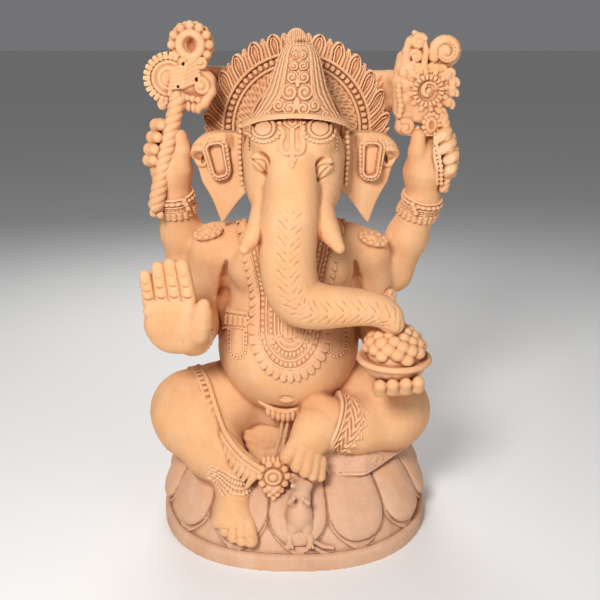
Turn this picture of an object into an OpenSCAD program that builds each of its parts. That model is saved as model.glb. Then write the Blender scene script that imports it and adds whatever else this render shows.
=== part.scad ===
// Seated elephant-headed idol on a lotus base, carved in one block of stone.
// The block is divided into the parts a carver would name, which meet face to face.
// Origin: middle of the underside. +Z up, the figure faces -Y, and its own left is +X.

/* [Base] */
// Width of the plinth, side to side
plinth_w = 342; // [320:1:380]
// Depth of the plinth, front to back
plinth_d = 340; // [310:1:370]
// Height of the plinth's rim
plinth_h = 18; // [14:1:24]
// Height of the lotus seat above the plinth
seat_h = 78; // [74:1:82]
// Petals round the lotus seat
petal_count = 14; // [10:1:18]

/* [Figure] */
// Radius of the round belly
belly_r = 86; // [80:1:90]
// Radius of the knees
knee_r = 51; // [47:1:54]
// Radius of the head
head_r = 57; // [54:1:60]
// Radius of the trunk where it leaves the face
trunk_r = 29; // [26:1:32]
// Thickness of the ears
ear_t = 15; // [12:1:18]
// Radius of a forearm at the wrist
wrist_r = 22; // [20:1:24]
// Radius of a finger
finger_r = 7.5; // [6.5:0.5:8.5]

/* [Halo and ornaments] */
// Radius of the halo plate, without its flames
halo_r = 104; // [100:1:108]
// Thickness of the halo plate
halo_t = 24; // [20:1:30]
// Flames round the halo's edge
flame_count = 15; // [9:2:21]
// Radius of the ring of beads on the halo
bead_ring_r = 84; // [80:1:88]
// Radius of a halo bead
bead_r = 3.4; // [2.5:0.1:4]
// Height of the crown above its brim
crown_h = 84; // [74:1:90]
// How far necklaces and bands stand out from the skin
relief = 4; // [3:0.5:6]
// Radius of the bowl's rim
bowl_r = 41; // [38:1:44]
// Radius of a sweet in the bowl
sweet_r = 9; // [7:0.5:11]

/* [Hidden] */

ball_fn = 14;          // facets round a blended form
bead_step = 7;         // degrees between halo beads
bead_fn = 8;           // facets round a small bead
base_power = 2.4;      // how square the oval base is, where 2 is an ellipse
base_sides = 64;
seat_z = plinth_h + seat_h;

// Joints of the figure, each [x, y, z, radius]
belly = [-8, -14, 222, belly_r];
back = [-4, 12, 226, belly_r - 14];
chest = [-5, 4, 316, 70];
right_hip = [-48, 6, 142, 48];
left_hip = [42, 6, 142, 48];
right_knee = [-129, -43, 148, knee_r];
left_knee = [121, -40, 148, knee_r - 1];
right_shin = [-122, -56, 129, 42];
left_shin = [116, -56, 142, 38];
right_ankle = [-71, -100, 92, 26];
left_ankle = [34, -90, 152, 31];
right_shoulder = [-94, 8, 342, 36];
left_shoulder = [86, 8, 336, 33];
right_elbow = [-110, 22, 262, 27];
left_elbow = [95, 12, 268, 27];
right_wrist = [-122, -82, 260, wrist_r - 1];
left_wrist = [113, -78, 226, wrist_r - 4];
right_rear_elbow = [-137, 32, 320, 26];
left_rear_elbow = [126, 38, 307, 25];
right_rear_wrist = [-146, 6, 402, wrist_r];
left_rear_wrist = [157, 8, 400, wrist_r];
skull = [0, -48, 464, head_r];
neck = [-2, 4, 388, 48];
trunk_bend = [-1, -113, 318, trunk_r - 2];
trunk_tip = [109, -122, 298, 14];
halo_c = [3, 36, 487];
axe_c = [-118, -8, 585];
noose_c = [158, -6, 537];
bowl_c = [115, -112, 222];
rosette_c = [-24, -132, 106];

// ---------- helpers ----------

// Points of a squarish oval with half-width a and half-depth b
function oval(a, b) = [
    for (i = [0 : base_sides - 1])
        let (t = 360 * i / base_sides, c = cos(t), s = sin(t), e = 2 / base_power)
            [a * sign(c) * pow(abs(c), e), b * sign(s) * pow(abs(s), e)]
];

// Half-width of the lotus seat at a share s of its height, and its half-depth
function seat_a(s) = plinth_w / 2 - 7 - 10 * s - 32 * s * s;
function seat_b(s) = plinth_d / 2 - 10 - 34 * s - 32 * s * s;

// A point on the seat's flank at angle t and share s of its height
function on_seat(t, s) =
    let (c = cos(t), q = sin(t), e = 2 / base_power)
        [seat_a(s) * sign(c) * pow(abs(c), e),
         seat_b(s) * sign(q) * pow(abs(q), e),
         plinth_h + seat_h * s];

// The same station with its radius changed by d, and the same station moved
function grown(p, d) = [p[0], p[1], p[2], p[3] + d];
function moved(p, v) = [p[0] + v[0], p[1] + v[1], p[2] + v[2], p[3]];

// One closed skin: resizing by nothing leaves the shape as it is
module one_skin() {
    resize([0, 0, 0]) children();
}

module ball(p, r, sides = ball_fn) {
    translate([p[0], p[1], p[2]]) sphere(r, $fn = sides);
}

// Blended form through a list of stations
module limb(stations, sides = ball_fn) {
    for (i = [0 : len(stations) - 2]) hull() {
        ball(stations[i], stations[i][3], sides);
        ball(stations[i + 1], stations[i + 1][3], sides);
    }
}

// Blended form wrapped round all its stations at once
module lump(stations, sides = ball_fn) {
    hull() for (p = stations) ball(p, p[3], sides);
}

// Slab of the upright plane between two depths, drawn from the front
module front_slab(y0, y1) {
    translate([0, y1, 0]) rotate([90, 0, 0]) linear_extrude(y1 - y0) children();
}

// Band round a limb at point p, with its axis along direction d
module band(p, d, r, width) {
    tilt = acos(d[2] / norm(d));
    turn = atan2(d[1], d[0]);
    translate([p[0], p[1], p[2]]) rotate([0, tilt, turn]) hull() {
        cylinder(h = width, r = r, center = true, $fn = 28);
        cylinder(h = width * 0.6, r = r + relief * 0.5, center = true, $fn = 28);
    }
}

// ---------- plain forms, used both as parts and as cutters ----------

module plinth_form() {
    linear_extrude(plinth_h) polygon(oval(plinth_w / 2, plinth_d / 2));
}

module seat_form() {
    hull() for (s = [0, 0.33, 0.66, 1]) {
        translate([0, 0, plinth_h + (seat_h - 1) * s])
            linear_extrude(1) polygon(oval(seat_a(s), seat_b(s)));
    }
}

module torso_form(grow = 0) {
    lump([grown(belly, grow), grown(back, grow), grown(chest, grow)]);
    lump([grown(belly, grow - 30), grown(right_hip, grow), grown(left_hip, grow)]);
    lump([grown(chest, grow), [-68, 8, 342, 36 + grow], [60, 8, 338, 36 + grow]]);
    limb([grown(chest, grow - 24), grown(neck, grow)]);
}

module right_leg_form(grow = 0) {
    limb([grown(right_hip, grow), grown(right_knee, grow)]);
    limb([grown(right_shin, grow), grown(right_ankle, grow)]);
}

module left_leg_form(grow = 0) {
    limb([grown(left_hip, grow), grown(left_knee, grow)]);
    limb([grown(left_shin, grow), grown(left_ankle, grow)]);
}

module right_foot_form() {
    lump([moved(right_ankle, [0, 2, -14]), [-92, -136, 50, 13], [-57, -150, 41, 15]]);
}

module left_foot_form() {
    lump([moved(left_ankle, [-6, -4, -2]), [2, -122, 132, 14], [27, -121, 110, 12]]);
}

module right_front_arm_form(grow = 0) {
    limb([grown(right_shoulder, grow), grown(right_elbow, grow), grown(right_wrist, grow)]);
}

module left_front_arm_form(grow = 0) {
    limb([grown(left_shoulder, grow), grown(left_elbow, grow), grown(left_wrist, grow)]);
}

module right_rear_arm_form(grow = 0) {
    limb([moved(grown(right_shoulder, grow - 6), [-4, 14, 0]),
          grown(right_rear_elbow, grow), grown(right_rear_wrist, grow)]);
}

module left_rear_arm_form(grow = 0) {
    limb([moved(grown(left_shoulder, grow - 4), [6, 14, 0]),
          grown(left_rear_elbow, grow), grown(left_rear_wrist, grow)]);
}

module head_form(grow = 0) {
    lump([grown(skull, grow), [-24, -56, 432, 26 + grow], [24, -56, 432, 26 + grow],
          moved(grown(neck, grow - 10), [0, 0, 14])]);
}

module trunk_form() {
    limb([[0, -84, 452, trunk_r], [-4, -102, 396, trunk_r], [-6, -109, 352, trunk_r],
          trunk_bend, [48, -117, 308, trunk_r - 8], [88, -121, 308, trunk_r - 12], trunk_tip]);
}

module ear_form(side) {
    lump([for (p = [[-60, -26, 480], [-99, -8, 480], [-114, -4, 462],
                    [-106, -6, 428], [-86, -20, 391], [-54, -36, 408]])
          [side * -p[0] + 3, p[1], p[2], ear_t / 2]], bead_fn);
}

module crown_form(grow = 0) {
    lump([[2, -46, 504, 53 + grow], [5, -14, 552, 29 + grow],
          [8, 2, 504 + crown_h - 11, 10 + grow]]);
}

// Everything under the arch of the crown's edge, raised by grow
module brim_outline(grow) {
    polygon([[-72, 440], [72, 440],
             for (a = [0 : 15 : 180]) [3 + (64 + grow) * cos(a), 490 + (24 + grow) * sin(a)]]);
}

module crown_brim_form() {
    intersection() {
        crown_form(relief);
        front_slab(-130, 20) difference() {
            brim_outline(6);
            brim_outline(0);
        }
    }
}

module halo_form() {
    translate([halo_c[0], halo_c[1] + halo_t, halo_c[2]])
        rotate([90, 0, 0]) cylinder(h = halo_t, r = halo_r, $fn = 72);
}

module right_front_hand_form() {
    // palm, four straight fingers and the thumb
    lump([[-120, -104, 262, 13], [-150, -110, 272, 12], [-158, -112, 312, 11], [-118, -112, 316, 11]]);
    for (i = [0 : 3]) {
        x = -160 + 15.5 * i;
        top = [350, 360, 363, 357][i];
        limb([[x, -112, 314, finger_r], [x + 1, -113, top - finger_r, finger_r]], bead_fn);
    }
    limb([[-112, -110, 280, 12], [-105, -114, 313, finger_r + 1]], bead_fn);
}

module left_front_hand_form() {
    lump([moved(grown(left_wrist, -2), [2, -8, 0]), [100, -112, 216, 10], [130, -112, 216, 10],
          [100, -140, 222, 8], [134, -138, 226, 8]]);
    for (i = [0 : 3]) {
        limb([[97 + 14.5 * i, -134, 220, finger_r], [97 + 14.5 * i, -147 + 1.5 * i, 229, finger_r]],
             bead_fn);
    }
}

module rear_hand_form(wrist, side) {
    // palm standing on the wrist, with the fingers closed at the outer side
    lump([moved(grown(wrist, -3), [0, -4, 12]), moved(wrist, [side * 4, -6, 44]),
          [wrist[0] - side * 10, wrist[1] - 12, wrist[2] + 72, 12]]);
    limb([[wrist[0] - side * 12, wrist[1] - 12, wrist[2] + 66, 10],
          [wrist[0] - side * 12, wrist[1] - 16, wrist[2] + 84, 8]], bead_fn);
    for (i = [0 : 3]) {
        limb([[wrist[0] + side * 10, wrist[1] - 4, wrist[2] + 46 + 11 * i, finger_r],
              [wrist[0] + side * 26, wrist[1] - 14, wrist[2] + 46 + 11 * i, finger_r]], bead_fn);
    }
}

module axe_shaft_form() {
    limb([[-132, -14, 534, 9], [-142, -18, 490, 9], [-156, -22, 436, 9], [-164, -16, 402, 9]]);
}

module axe_form() {
    // ring of petals on top, fan blade at the side, and the block that ties them to the halo
    translate([axe_c[0], axe_c[1] + 30, axe_c[2]]) rotate([90, 0, 0]) difference() {
        cylinder(h = 42, r = 24, $fn = 28);
        translate([0, 0, 30]) scale([0.7, 1, 1]) cylinder(h = 14, r = 8, $fn = 16);
    }
    translate([-147, 8, 552]) rotate([90, 0, 0]) cylinder(h = 16, r = 26, $fn = 28);
    lump([[-132, -8, 546, 17], [-118, 2, 566, 15], [-106, 4, 540, 14], [-134, -10, 530, 14]]);
    lump([[-104, 8, 548, 13], [-92, 42, 536, 12]], bead_fn);
}

module noose_form() {
    translate([noose_c[0], noose_c[1] + 26, noose_c[2]]) rotate([90, 0, 0])
        cylinder(h = 38, r = 33, $fn = 28);
    translate([174, 18, 581]) rotate([90, 0, 0]) cylinder(h = 30, r = 19, $fn = 24);
    translate([142, 16, 583]) rotate([90, 0, 0]) cylinder(h = 28, r = 16, $fn = 20);
    lump([[128, -2, 514, 12], [136, -4, 502, 9]], bead_fn);
    lump([[126, 8, 546, 13], [104, 42, 528, 12]], bead_fn);
}

module noose_rope_form() {
    limb([[170, -8, 512, 10], [177, -10, 496, 13], [182, -10, 468, 12], [180, -10, 424, 8]]);
}

module bowl_form() {
    translate([bowl_c[0], bowl_c[1], bowl_c[2]]) rotate_extrude($fn = 64) polygon([
        [0, 0], [22, 0], [24, 6], [bowl_r - 8, 14], [bowl_r, 20], [bowl_r, 26],
        [bowl_r - 4, 28], [0, 28]]);
}

// Strip of the front view that the necklaces fill: a U that hangs from the neck
module garland_outline() {
    difference() {
        hull() {
            translate([-4, 264]) circle(r = 56, $fn = 40);
            translate([-76, 400]) square([24, 4]);
            translate([50, 400]) square([24, 4]);
        }
        hull() {
            translate([-4, 290]) circle(r = 32, $fn = 32);
            translate([-44, 420]) square([86, 4]);
        }
    }
    // tassels inside the U
    translate([-4, 276]) circle(r = 28, $fn = 24);
}

module mouse_form() {
    lump([[8, -124, 96, 9], [7, -130, 80, 11]], bead_fn);
    lump([[7, -130, 78, 12], [4, -146, 48, 14]], bead_fn);
    limb([[2, -150, 46, 8], [0, -158, 32, 6]], bead_fn);
    limb([[12, -150, 46, 8], [14, -156, 34, 6]], bead_fn);
    for (x = [0, 17]) ball([x, -122, 100], 5, bead_fn);
}

module seat_cloth_form() {
    lump([[44, -92, 112, 8], [90, -98, 100, 6], [142, -44, 98, 6], [60, -40, 104, 6]], bead_fn);
}

module loincloth_form() {
    lump([[-48, -52, 120, 24], [2, -74, 116, 18], [-20, -70, 148, 12], [-30, -30, 120, 24]]);
}

module right_anklet_form() {
    band([-73, -98, 94], [51, -44, -38], 29, 12);
}

module sash_form() {
    limb([[-98, -88, 152, 7], [-72, -112, 126, 8], [-44, -126, 108, 8]], bead_fn);
    lump([[-94, -96, 140, 6], [-70, -112, 118, 7], [-88, -100, 126, 6]], bead_fn);
}

module rosette_form() {
    translate([rosette_c[0], rosette_c[1] + 12, rosette_c[2]]) rotate([90, 0, 0])
        cylinder(h = 14, r = 18, $fn = 24);
    lump([[rosette_c[0], rosette_c[1] + 6, rosette_c[2] - 10, 8],
          [rosette_c[0] - 2, rosette_c[1] - 2, rosette_c[2] - 28, 5]], bead_fn);
}

// What the figure presses into the seat
module figure_below() {
    right_foot_form();
    right_leg_form();
    left_leg_form();
    torso_form();
    mouse_form();
}

// ---------- the parts ----------

module plinth() {
    color("rosybrown") plinth_form();
}

module lotus_seat() {
    color("tan") one_skin() difference() {
        seat_form();
        figure_below();
    }
}

module lotus_petals() {
    color("burlywood") one_skin() difference() {
        for (i = [0 : petal_count - 1]) {
            t = 270 + 360 * i / petal_count;
            half = 360 / petal_count * 0.46;
            hull() {
                ball(on_seat(t, 0.08), 5, 6);
                for (side = [-1, 1]) {
                    ball(on_seat(t + side * half, 0.42), 5, 6);
                    ball(on_seat(t + side * half * 0.7, 0.8), 4, 6);
                }
                ball(on_seat(t, 0.55), 7, 6);
            }
        }
        seat_form();
        plinth_form();
        seat_cloth_form();
        rosette_form();
        sash_form();
        figure_below();
    }
}

module seat_cloth() {
    color("tan") one_skin() difference() {
        seat_cloth_form();
        seat_form();
        left_leg_form();
        right_leg_form();
        torso_form();
        left_foot_form();
    }
}

module torso() {
    color("sandybrown") one_skin() difference() {
        torso_form();
        right_leg_form();
        left_leg_form();
        halo_form();
    }
}

module loincloth() {
    color("burlywood") one_skin() difference() {
        loincloth_form();
        torso_form();
        right_leg_form();
        left_leg_form();
        left_foot_form();
        seat_form();
        seat_cloth_form();
    }
}

module right_leg() {
    color("sandybrown") one_skin() difference() {
        right_leg_form();
        right_foot_form();
        plinth_form();
    }
}

module right_foot() {
    color("sandybrown") one_skin() difference() {
        right_foot_form();
        plinth_form();
    }
}

module left_leg() {
    color("sandybrown") one_skin() difference() {
        left_leg_form();
        right_leg_form();
        left_foot_form();
    }
}

module left_foot() {
    color("sandybrown") one_skin() left_foot_form();
}

module right_front_arm() {
    color("sandybrown") one_skin() difference() {
        right_front_arm_form();
        torso_form();
        right_leg_form();
        right_front_hand_form();
    }
}

module right_front_hand() {
    color("sandybrown") one_skin() right_front_hand_form();
}

module left_front_arm() {
    color("sandybrown") one_skin() difference() {
        left_front_arm_form();
        torso_form();
        left_leg_form();
        left_front_hand_form();
        trunk_form();
    }
}

module left_front_hand() {
    color("sandybrown") one_skin() difference() {
        left_front_hand_form();
        left_leg_form();
        bowl_form();
    }
}

module right_rear_arm() {
    color("sandybrown") one_skin() difference() {
        right_rear_arm_form();
        torso_form();
        right_front_arm_form();
        rear_hand_form(right_rear_wrist, -1);
    }
}

module right_rear_hand() {
    color("sandybrown") one_skin() difference() {
        rear_hand_form(right_rear_wrist, -1);
        axe_shaft_form();
        axe_form();
    }
}

module left_rear_arm() {
    color("sandybrown") one_skin() difference() {
        left_rear_arm_form();
        torso_form();
        left_front_arm_form();
        rear_hand_form(left_rear_wrist, 1);
    }
}

module left_rear_hand() {
    color("sandybrown") one_skin() difference() {
        rear_hand_form(left_rear_wrist, 1);
        noose_rope_form();
        noose_form();
    }
}

module head() {
    color("sandybrown") one_skin() difference() {
        head_form();
        torso_form();
        trunk_form();
        halo_form();
        crown_form();
    }
}

module trunk() {
    color("sandybrown") one_skin() trunk_form();
}

module tusk(side) {
    color("navajowhite") one_skin() difference() {
        limb([[side * 31 - 1, -88, 390, 13], [side * 50 - 1, -120, 378, 6]]);
        trunk_form();
        head_form();
    }
}

module right_tusk() tusk(-1);
module left_tusk() tusk(1);

module ear(side) {
    color("sandybrown") one_skin() difference() {
        ear_form(side);
        head_form();
        torso_form();
        crown_form();
    }
}

module right_ear() ear(-1);
module left_ear() ear(1);

module crown() {
    color("burlywood") one_skin() difference() {
        crown_form();
        front_slab(-120, 60) brim_outline(0);
        halo_form();
    }
}

module crown_brim() {
    color("burlywood") one_skin() difference() {
        crown_brim_form();
        crown_form();
        head_form();
        ear_form(-1);
        ear_form(1);
    }
}

module halo() {
    color("peru") one_skin() difference() {
        halo_form();
        axe_form();
        noose_form();
    }
}

module halo_beads() {
    color("burlywood") one_skin() difference() {
        for (a = [-6 : bead_step : 186]) {
            translate([halo_c[0] + bead_ring_r * cos(a), halo_c[1] + 0.4, halo_c[2] + bead_ring_r * sin(a)])
                sphere(bead_r * 1.35, $fn = 8);
        }
        halo_form();
        head_form();
        crown_form();
        ear_form(-1);
        ear_form(1);
    }
}

module halo_flames() {
    color("burlywood") one_skin() difference() {
        for (i = [0 : flame_count - 1]) {
            a = -12 + 204 * i / (flame_count - 1);
            translate([halo_c[0], halo_c[1] + halo_t / 2, halo_c[2]]) rotate([0, -a, 0]) hull() {
                for (z = [-9, 9]) translate([halo_r - 3, 0, z]) sphere(halo_t / 2 - 2, $fn = bead_fn);
                translate([halo_r + 4, 0, 0]) sphere(halo_t / 2 - 4, $fn = bead_fn);
            }
        }
        halo_form();
        axe_form();
        noose_form();
        ear_form(-1);
        ear_form(1);
    }
}

module axe() {
    color("burlywood") one_skin() axe_form();
}

module axe_shaft() {
    color("burlywood") one_skin() difference() {
        axe_shaft_form();
        axe_form();
    }
}

module noose() {
    color("burlywood") one_skin() noose_form();
}

module noose_rope() {
    color("burlywood") one_skin() difference() {
        noose_rope_form();
        noose_form();
    }
}

module bowl() {
    color("burlywood") bowl_form();
}

module sweets() {
    color("wheat") one_skin() difference() {
        union() {
            for (ring = [[0, 0, 288], [5, 17, 280], [9, 28, 264]], i = [0 : ring[0]]) {
                a = 360 * i / (ring[0] + 1) + ring[1];
                ball([bowl_c[0] + ring[1] * cos(a), bowl_c[1] + ring[1] * sin(a), ring[2]],
                     sweet_r + 1, bead_fn);
            }
            lump([[bowl_c[0], bowl_c[1], 254, 30], [bowl_c[0], bowl_c[1], 270, 20]]);
        }
        bowl_form();
        trunk_form();
        translate([bowl_c[0], bowl_c[1], bowl_c[2] - 40]) cylinder(h = 60, r = bowl_r * 2);
    }
}

module garland() {
    color("burlywood") one_skin() difference() {
        intersection() {
            torso_form(relief);
            front_slab(-130, 0) garland_outline();
        }
        torso_form();
        head_form();
        trunk_form();
        ear_form(-1);
        ear_form(1);
        right_front_arm_form();
        left_front_arm_form();
    }
}

module belly_band() {
    color("burlywood") one_skin() difference() {
        intersection() {
            torso_form(relief);
            union() {
                translate([-120, -120, 264]) cube([240, 240, 20]);
                for (x = [-72, 52]) front_slab(-130, 0) hull() {
                    translate([x - 10, 262]) square([20, 4]);
                    translate([x, 246]) circle(r = 10, $fn = 20);
                }
            }
        }
        torso_form();
        front_slab(-130, 0) garland_outline();
        front_slab(-130, 0) translate([-4, 300]) square([70, 100], center = true);
        trunk_form();
        right_front_arm_form();
        left_front_arm_form();
    }
}

module right_front_bracelet() {
    color("burlywood") one_skin() difference() {
        band([-121, -80, 260], [-9, -100, 2], wrist_r + 3, 12);
        right_front_arm_form();
        right_front_hand_form();
    }
}

module right_rear_bracelet() {
    color("burlywood") one_skin() difference() {
        band([-145, 8, 398], [-8, -25, 82], wrist_r + 5, 24);
        right_rear_arm_form();
        rear_hand_form(right_rear_wrist, -1);
        axe_shaft_form();
    }
}

module left_rear_bracelet() {
    color("burlywood") one_skin() difference() {
        band([155, 10, 396], [28, -30, 93], wrist_r + 5, 26);
        left_rear_arm_form();
        rear_hand_form(left_rear_wrist, 1);
    }
}

module right_armlet() {
    color("burlywood") one_skin() difference() {
        lump([[-110, -12, 370, 10], [-96, -22, 374, 9]], bead_fn);
        right_front_arm_form();
        torso_form();
        ear_form(-1);
    }
}

module left_armlet() {
    color("burlywood") one_skin() difference() {
        lump([[102, -12, 363, 10], [88, -22, 368, 9]], bead_fn);
        left_front_arm_form();
        torso_form();
        ear_form(1);
    }
}

module right_anklet() {
    color("burlywood") one_skin() difference() {
        right_anklet_form();
        right_leg_form();
        right_foot_form();
        seat_form();
    }
}

module sash() {
    color("burlywood") one_skin() difference() {
        sash_form();
        right_leg_form();
        right_foot_form();
        right_anklet_form();
        rosette_form();
        seat_form();
    }
}

module rosette() {
    color("burlywood") one_skin() difference() {
        rosette_form();
        seat_form();
        left_foot_form();
        right_foot_form();
        mouse_form();
    }
}

module left_thigh_cuff() {
    color("burlywood") one_skin() difference() {
        intersection() {
            left_leg_form(relief);
            translate([52, -110, 130]) rotate([0, 24, 0]) cube([30, 90, 110], center = true);
        }
        left_leg_form();
        torso_form();
        left_foot_form();
        seat_cloth_form();
    }
}

module forehead_ornament() {
    color("burlywood") one_skin() difference() {
        intersection() {
            head_form(relief);
            front_slab(-130, -60) union() {
                for (side = [-1, 1])
                    translate([2 + side * 28, 496]) scale([1, 0.75]) circle(r = 20, $fn = 24);
                translate([1, 488]) square([20, 40], center = true);
                polygon([[-4, 474], [4, 474], [0, 462]]);
            }
        }
        head_form();
        crown_form();
        crown_brim_form();
        trunk_form();
    }
}

module ear_ring(side) {
    color("burlywood") one_skin() difference() {
        translate([3 + side * 88, -14, 463]) rotate([78, 0, side * 12]) difference() {
            linear_extrude(18) offset(r = 8) square([10, 24], center = true);
            translate([0, 0, -1]) linear_extrude(20) offset(r = 3) square([8, 22], center = true);
        }
        ear_form(side);
        head_form();
        halo_form();
    }
}

module right_ear_ring() ear_ring(-1);
module left_ear_ring() ear_ring(1);

module mouse() {
    color("burlywood") one_skin() difference() {
        mouse_form();
        plinth_form();
        left_foot_form();
    }
}

plinth();
lotus_seat();
lotus_petals();
seat_cloth();
torso();
loincloth();
right_leg();
right_foot();
left_leg();
left_foot();
right_front_arm();
right_front_hand();
left_front_arm();
left_front_hand();
right_rear_arm();
right_rear_hand();
left_rear_arm();
left_rear_hand();
head();
trunk();
right_tusk();
left_tusk();
right_ear();
left_ear();
crown();
crown_brim();
halo();
halo_beads();
halo_flames();
axe();
axe_shaft();
noose();
noose_rope();
bowl();
sweets();
garland();
belly_band();
right_front_bracelet();
right_rear_bracelet();
left_rear_bracelet();
right_armlet();
left_armlet();
right_anklet();
sash();
rosette();
left_thigh_cuff();
forehead_ornament();
right_ear_ring();
left_ear_ring();
mouse();
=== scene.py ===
"""Sandstone elephant-headed idol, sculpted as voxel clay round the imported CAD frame.

Every form is a signed distance in millimetres. Neighbouring parts of the body share one
blended skin, and each part keeps the share of it that lies nearest to its own forms.
Ornaments are reliefs raised on that skin, or small solid forms added to it.
"""
import math
import bpy
import numpy as np
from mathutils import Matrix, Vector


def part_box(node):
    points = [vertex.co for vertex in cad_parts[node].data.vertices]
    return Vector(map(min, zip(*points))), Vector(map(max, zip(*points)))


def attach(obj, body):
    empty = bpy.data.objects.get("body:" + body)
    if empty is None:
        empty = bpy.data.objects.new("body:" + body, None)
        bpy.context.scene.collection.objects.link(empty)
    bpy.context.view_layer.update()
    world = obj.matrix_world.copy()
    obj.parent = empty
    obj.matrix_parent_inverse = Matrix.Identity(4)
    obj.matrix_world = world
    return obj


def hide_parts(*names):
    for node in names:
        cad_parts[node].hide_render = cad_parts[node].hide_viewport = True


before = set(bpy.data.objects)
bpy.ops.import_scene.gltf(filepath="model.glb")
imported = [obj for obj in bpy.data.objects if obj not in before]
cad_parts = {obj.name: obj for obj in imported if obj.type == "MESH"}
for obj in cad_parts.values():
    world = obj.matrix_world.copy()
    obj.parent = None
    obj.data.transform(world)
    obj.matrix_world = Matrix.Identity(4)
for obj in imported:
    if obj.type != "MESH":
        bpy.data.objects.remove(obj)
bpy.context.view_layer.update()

import openvdb as vdb
from mathutils import Vector

MM = 0.001
FAR = 60.0          # a distance that stands for "nowhere near", in mm
ROOT = 2.5          # how far a relief reaches under the skin, in mm
SEAM = 3.0          # how far neighbouring parts of the skin reach under each other, in mm
SEAM_SLOPE = 0.12   # how fast a part sinks under its neighbour
FINE, MEDIUM, COARSE = 0.9, 1.25, 1.6   # voxel sizes in mm


# ---------------------------------------------------------------- places

class Spot:
    """Points drawn in the figure's millimetres, carried along by one CAD node.

    home is where the middle of that node's box lies in the drawing.
    """

    def __init__(self, node, home):
        self.node = node
        low, high = (np.array(corner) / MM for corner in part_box(node))
        self.shift = (low + high) / 2 - np.array(home, float)

    def __call__(self, x, y, z, *radius):
        return np.array([x + self.shift[0], y + self.shift[1], z + self.shift[2], *radius])

    def chain(self, *stations):
        """Bones from station to station, each given as x, y, z, radius."""
        return chain([self(*station) for station in stations])


# ---------------------------------------------------------------- forms

class Form:
    """A signed distance gap(x, y, z) with the box that holds it."""

    def __init__(self, low, high, gap):
        self.low = np.array(low, float)
        self.high = np.array(high, float)
        self.gap = gap


def unit(v):
    v = np.array(v, float)
    return v / np.linalg.norm(v)


def ball(p, r=None):
    c = p[:3]
    r = p[3] if r is None else r
    return Form(c - r, c + r,
                lambda x, y, z: np.sqrt((x - c[0]) ** 2 + (y - c[1]) ** 2 + (z - c[2]) ** 2) - r)


def bone(a, b):
    """Round cone between two stations (x, y, z, radius)."""
    p, d = a[:3], b[:3] - a[:3]
    n = max(float(d @ d), 1e-6)

    def gap(x, y, z):
        t = np.clip(((x - p[0]) * d[0] + (y - p[1]) * d[1] + (z - p[2]) * d[2]) / n, 0, 1)
        away = (x - p[0] - t * d[0]) ** 2 + (y - p[1] - t * d[1]) ** 2 + (z - p[2] - t * d[2]) ** 2
        return np.sqrt(away) - (a[3] + t * (b[3] - a[3]))
    r = max(a[3], b[3])
    return Form(np.minimum(a[:3], b[:3]) - r, np.maximum(a[:3], b[:3]) + r, gap)


def axes(along, out):
    """Rows: along, across and out, at right angles to each other."""
    u = unit(along)
    w = unit(np.array(out, float) - np.dot(out, u) * u)
    return np.array([u, np.cross(w, u), w])


def local(c, rows, x, y, z):
    """Coordinates from c along the rows."""
    x, y, z = x - c[0], y - c[1], z - c[2]
    return tuple(x * r[0] + y * r[1] + z * r[2] for r in rows)


def egg(c, radii, rows=np.eye(3)):
    """Ellipsoid with its radii along the rows."""
    r = np.array(radii, float)
    reach = np.abs(rows.T) @ r

    def gap(x, y, z):
        u, v, w = local(c, rows, x, y, z)
        k0 = np.sqrt((u / r[0]) ** 2 + (v / r[1]) ** 2 + (w / r[2]) ** 2)
        k1 = np.sqrt((u / r[0] ** 2) ** 2 + (v / r[1] ** 2) ** 2 + (w / r[2] ** 2) ** 2)
        return k0 * (k0 - 1) / np.maximum(k1, 1e-6)
    return Form(c[:3] - reach, c[:3] + reach, gap)


def block(c, half, rounding, rows=np.eye(3)):
    """Box with rounded edges and its half sizes along the rows."""
    h = np.array(half, float)
    reach = np.abs(rows.T) @ h

    def gap(x, y, z):
        q = [np.abs(u) - (h[i] - rounding) for i, u in enumerate(local(c, rows, x, y, z))]
        outside = np.sqrt(sum(np.maximum(k, 0) ** 2 for k in q))
        return outside + np.minimum(np.maximum(np.maximum(q[0], q[1]), q[2]), 0) - rounding
    return Form(c[:3] - reach, c[:3] + reach, gap)


FRONT = (0, -1, 0)
WHEEL = axes((0, 1, 0), (0.31, 0.53, 0.79))     # rows of a wheel that faces the front


def ring(c, radius, thick):
    """Round cord closed to a circle that faces the front."""
    reach = radius + thick

    def gap(x, y, z):
        u, v, w = local(c, WHEEL, x, y, z)
        return np.sqrt((np.sqrt(v ** 2 + w ** 2) - radius) ** 2 + u ** 2) - thick
    return Form(c[:3] - reach, c[:3] + reach, gap)


def chain(stations):
    return [bone(a, b) for a, b in zip(stations, stations[1:])]


def smooth_path(points, per_span=6, closed=False):
    """Catmull-Rom curve through the points, which may carry a radius."""
    p = np.array(points, float)
    ring_of = [p[-1], *p, p[0], p[1]] if closed else [2 * p[0] - p[1], *p, 2 * p[-1] - p[-2]]
    out = []
    for a, b, c, d in zip(ring_of, ring_of[1:], ring_of[2:], ring_of[3:]):
        for t in np.arange(per_span) / per_span:
            out.append(0.5 * (2 * b + (c - a) * t + (2 * a - 5 * b + 4 * c - d) * t ** 2
                              + (3 * b - a - 3 * c + d) * t ** 3))
    if not closed:
        out.append(p[-1])
    return np.array(out)


def even_path(points, pitch):
    """The same path with its points pitch apart, as near as fits its length."""
    p = np.array(points, float)
    run = np.concatenate([[0], np.cumsum(np.linalg.norm(np.diff(p[:, :3], axis=0), axis=1))])
    s = np.linspace(0, run[-1], max(2, int(round(run[-1] / pitch)) + 1))
    return np.stack([np.interp(s, run, p[:, k]) for k in range(p.shape[1])], 1)


def blend_in(a, b, soft):
    """Union of two distances with a fillet of about soft."""
    if soft <= 0:
        return np.minimum(a, b)
    h = np.maximum(soft - np.abs(a - b), 0) / soft
    return np.minimum(a, b) - h * h * soft / 4


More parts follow.
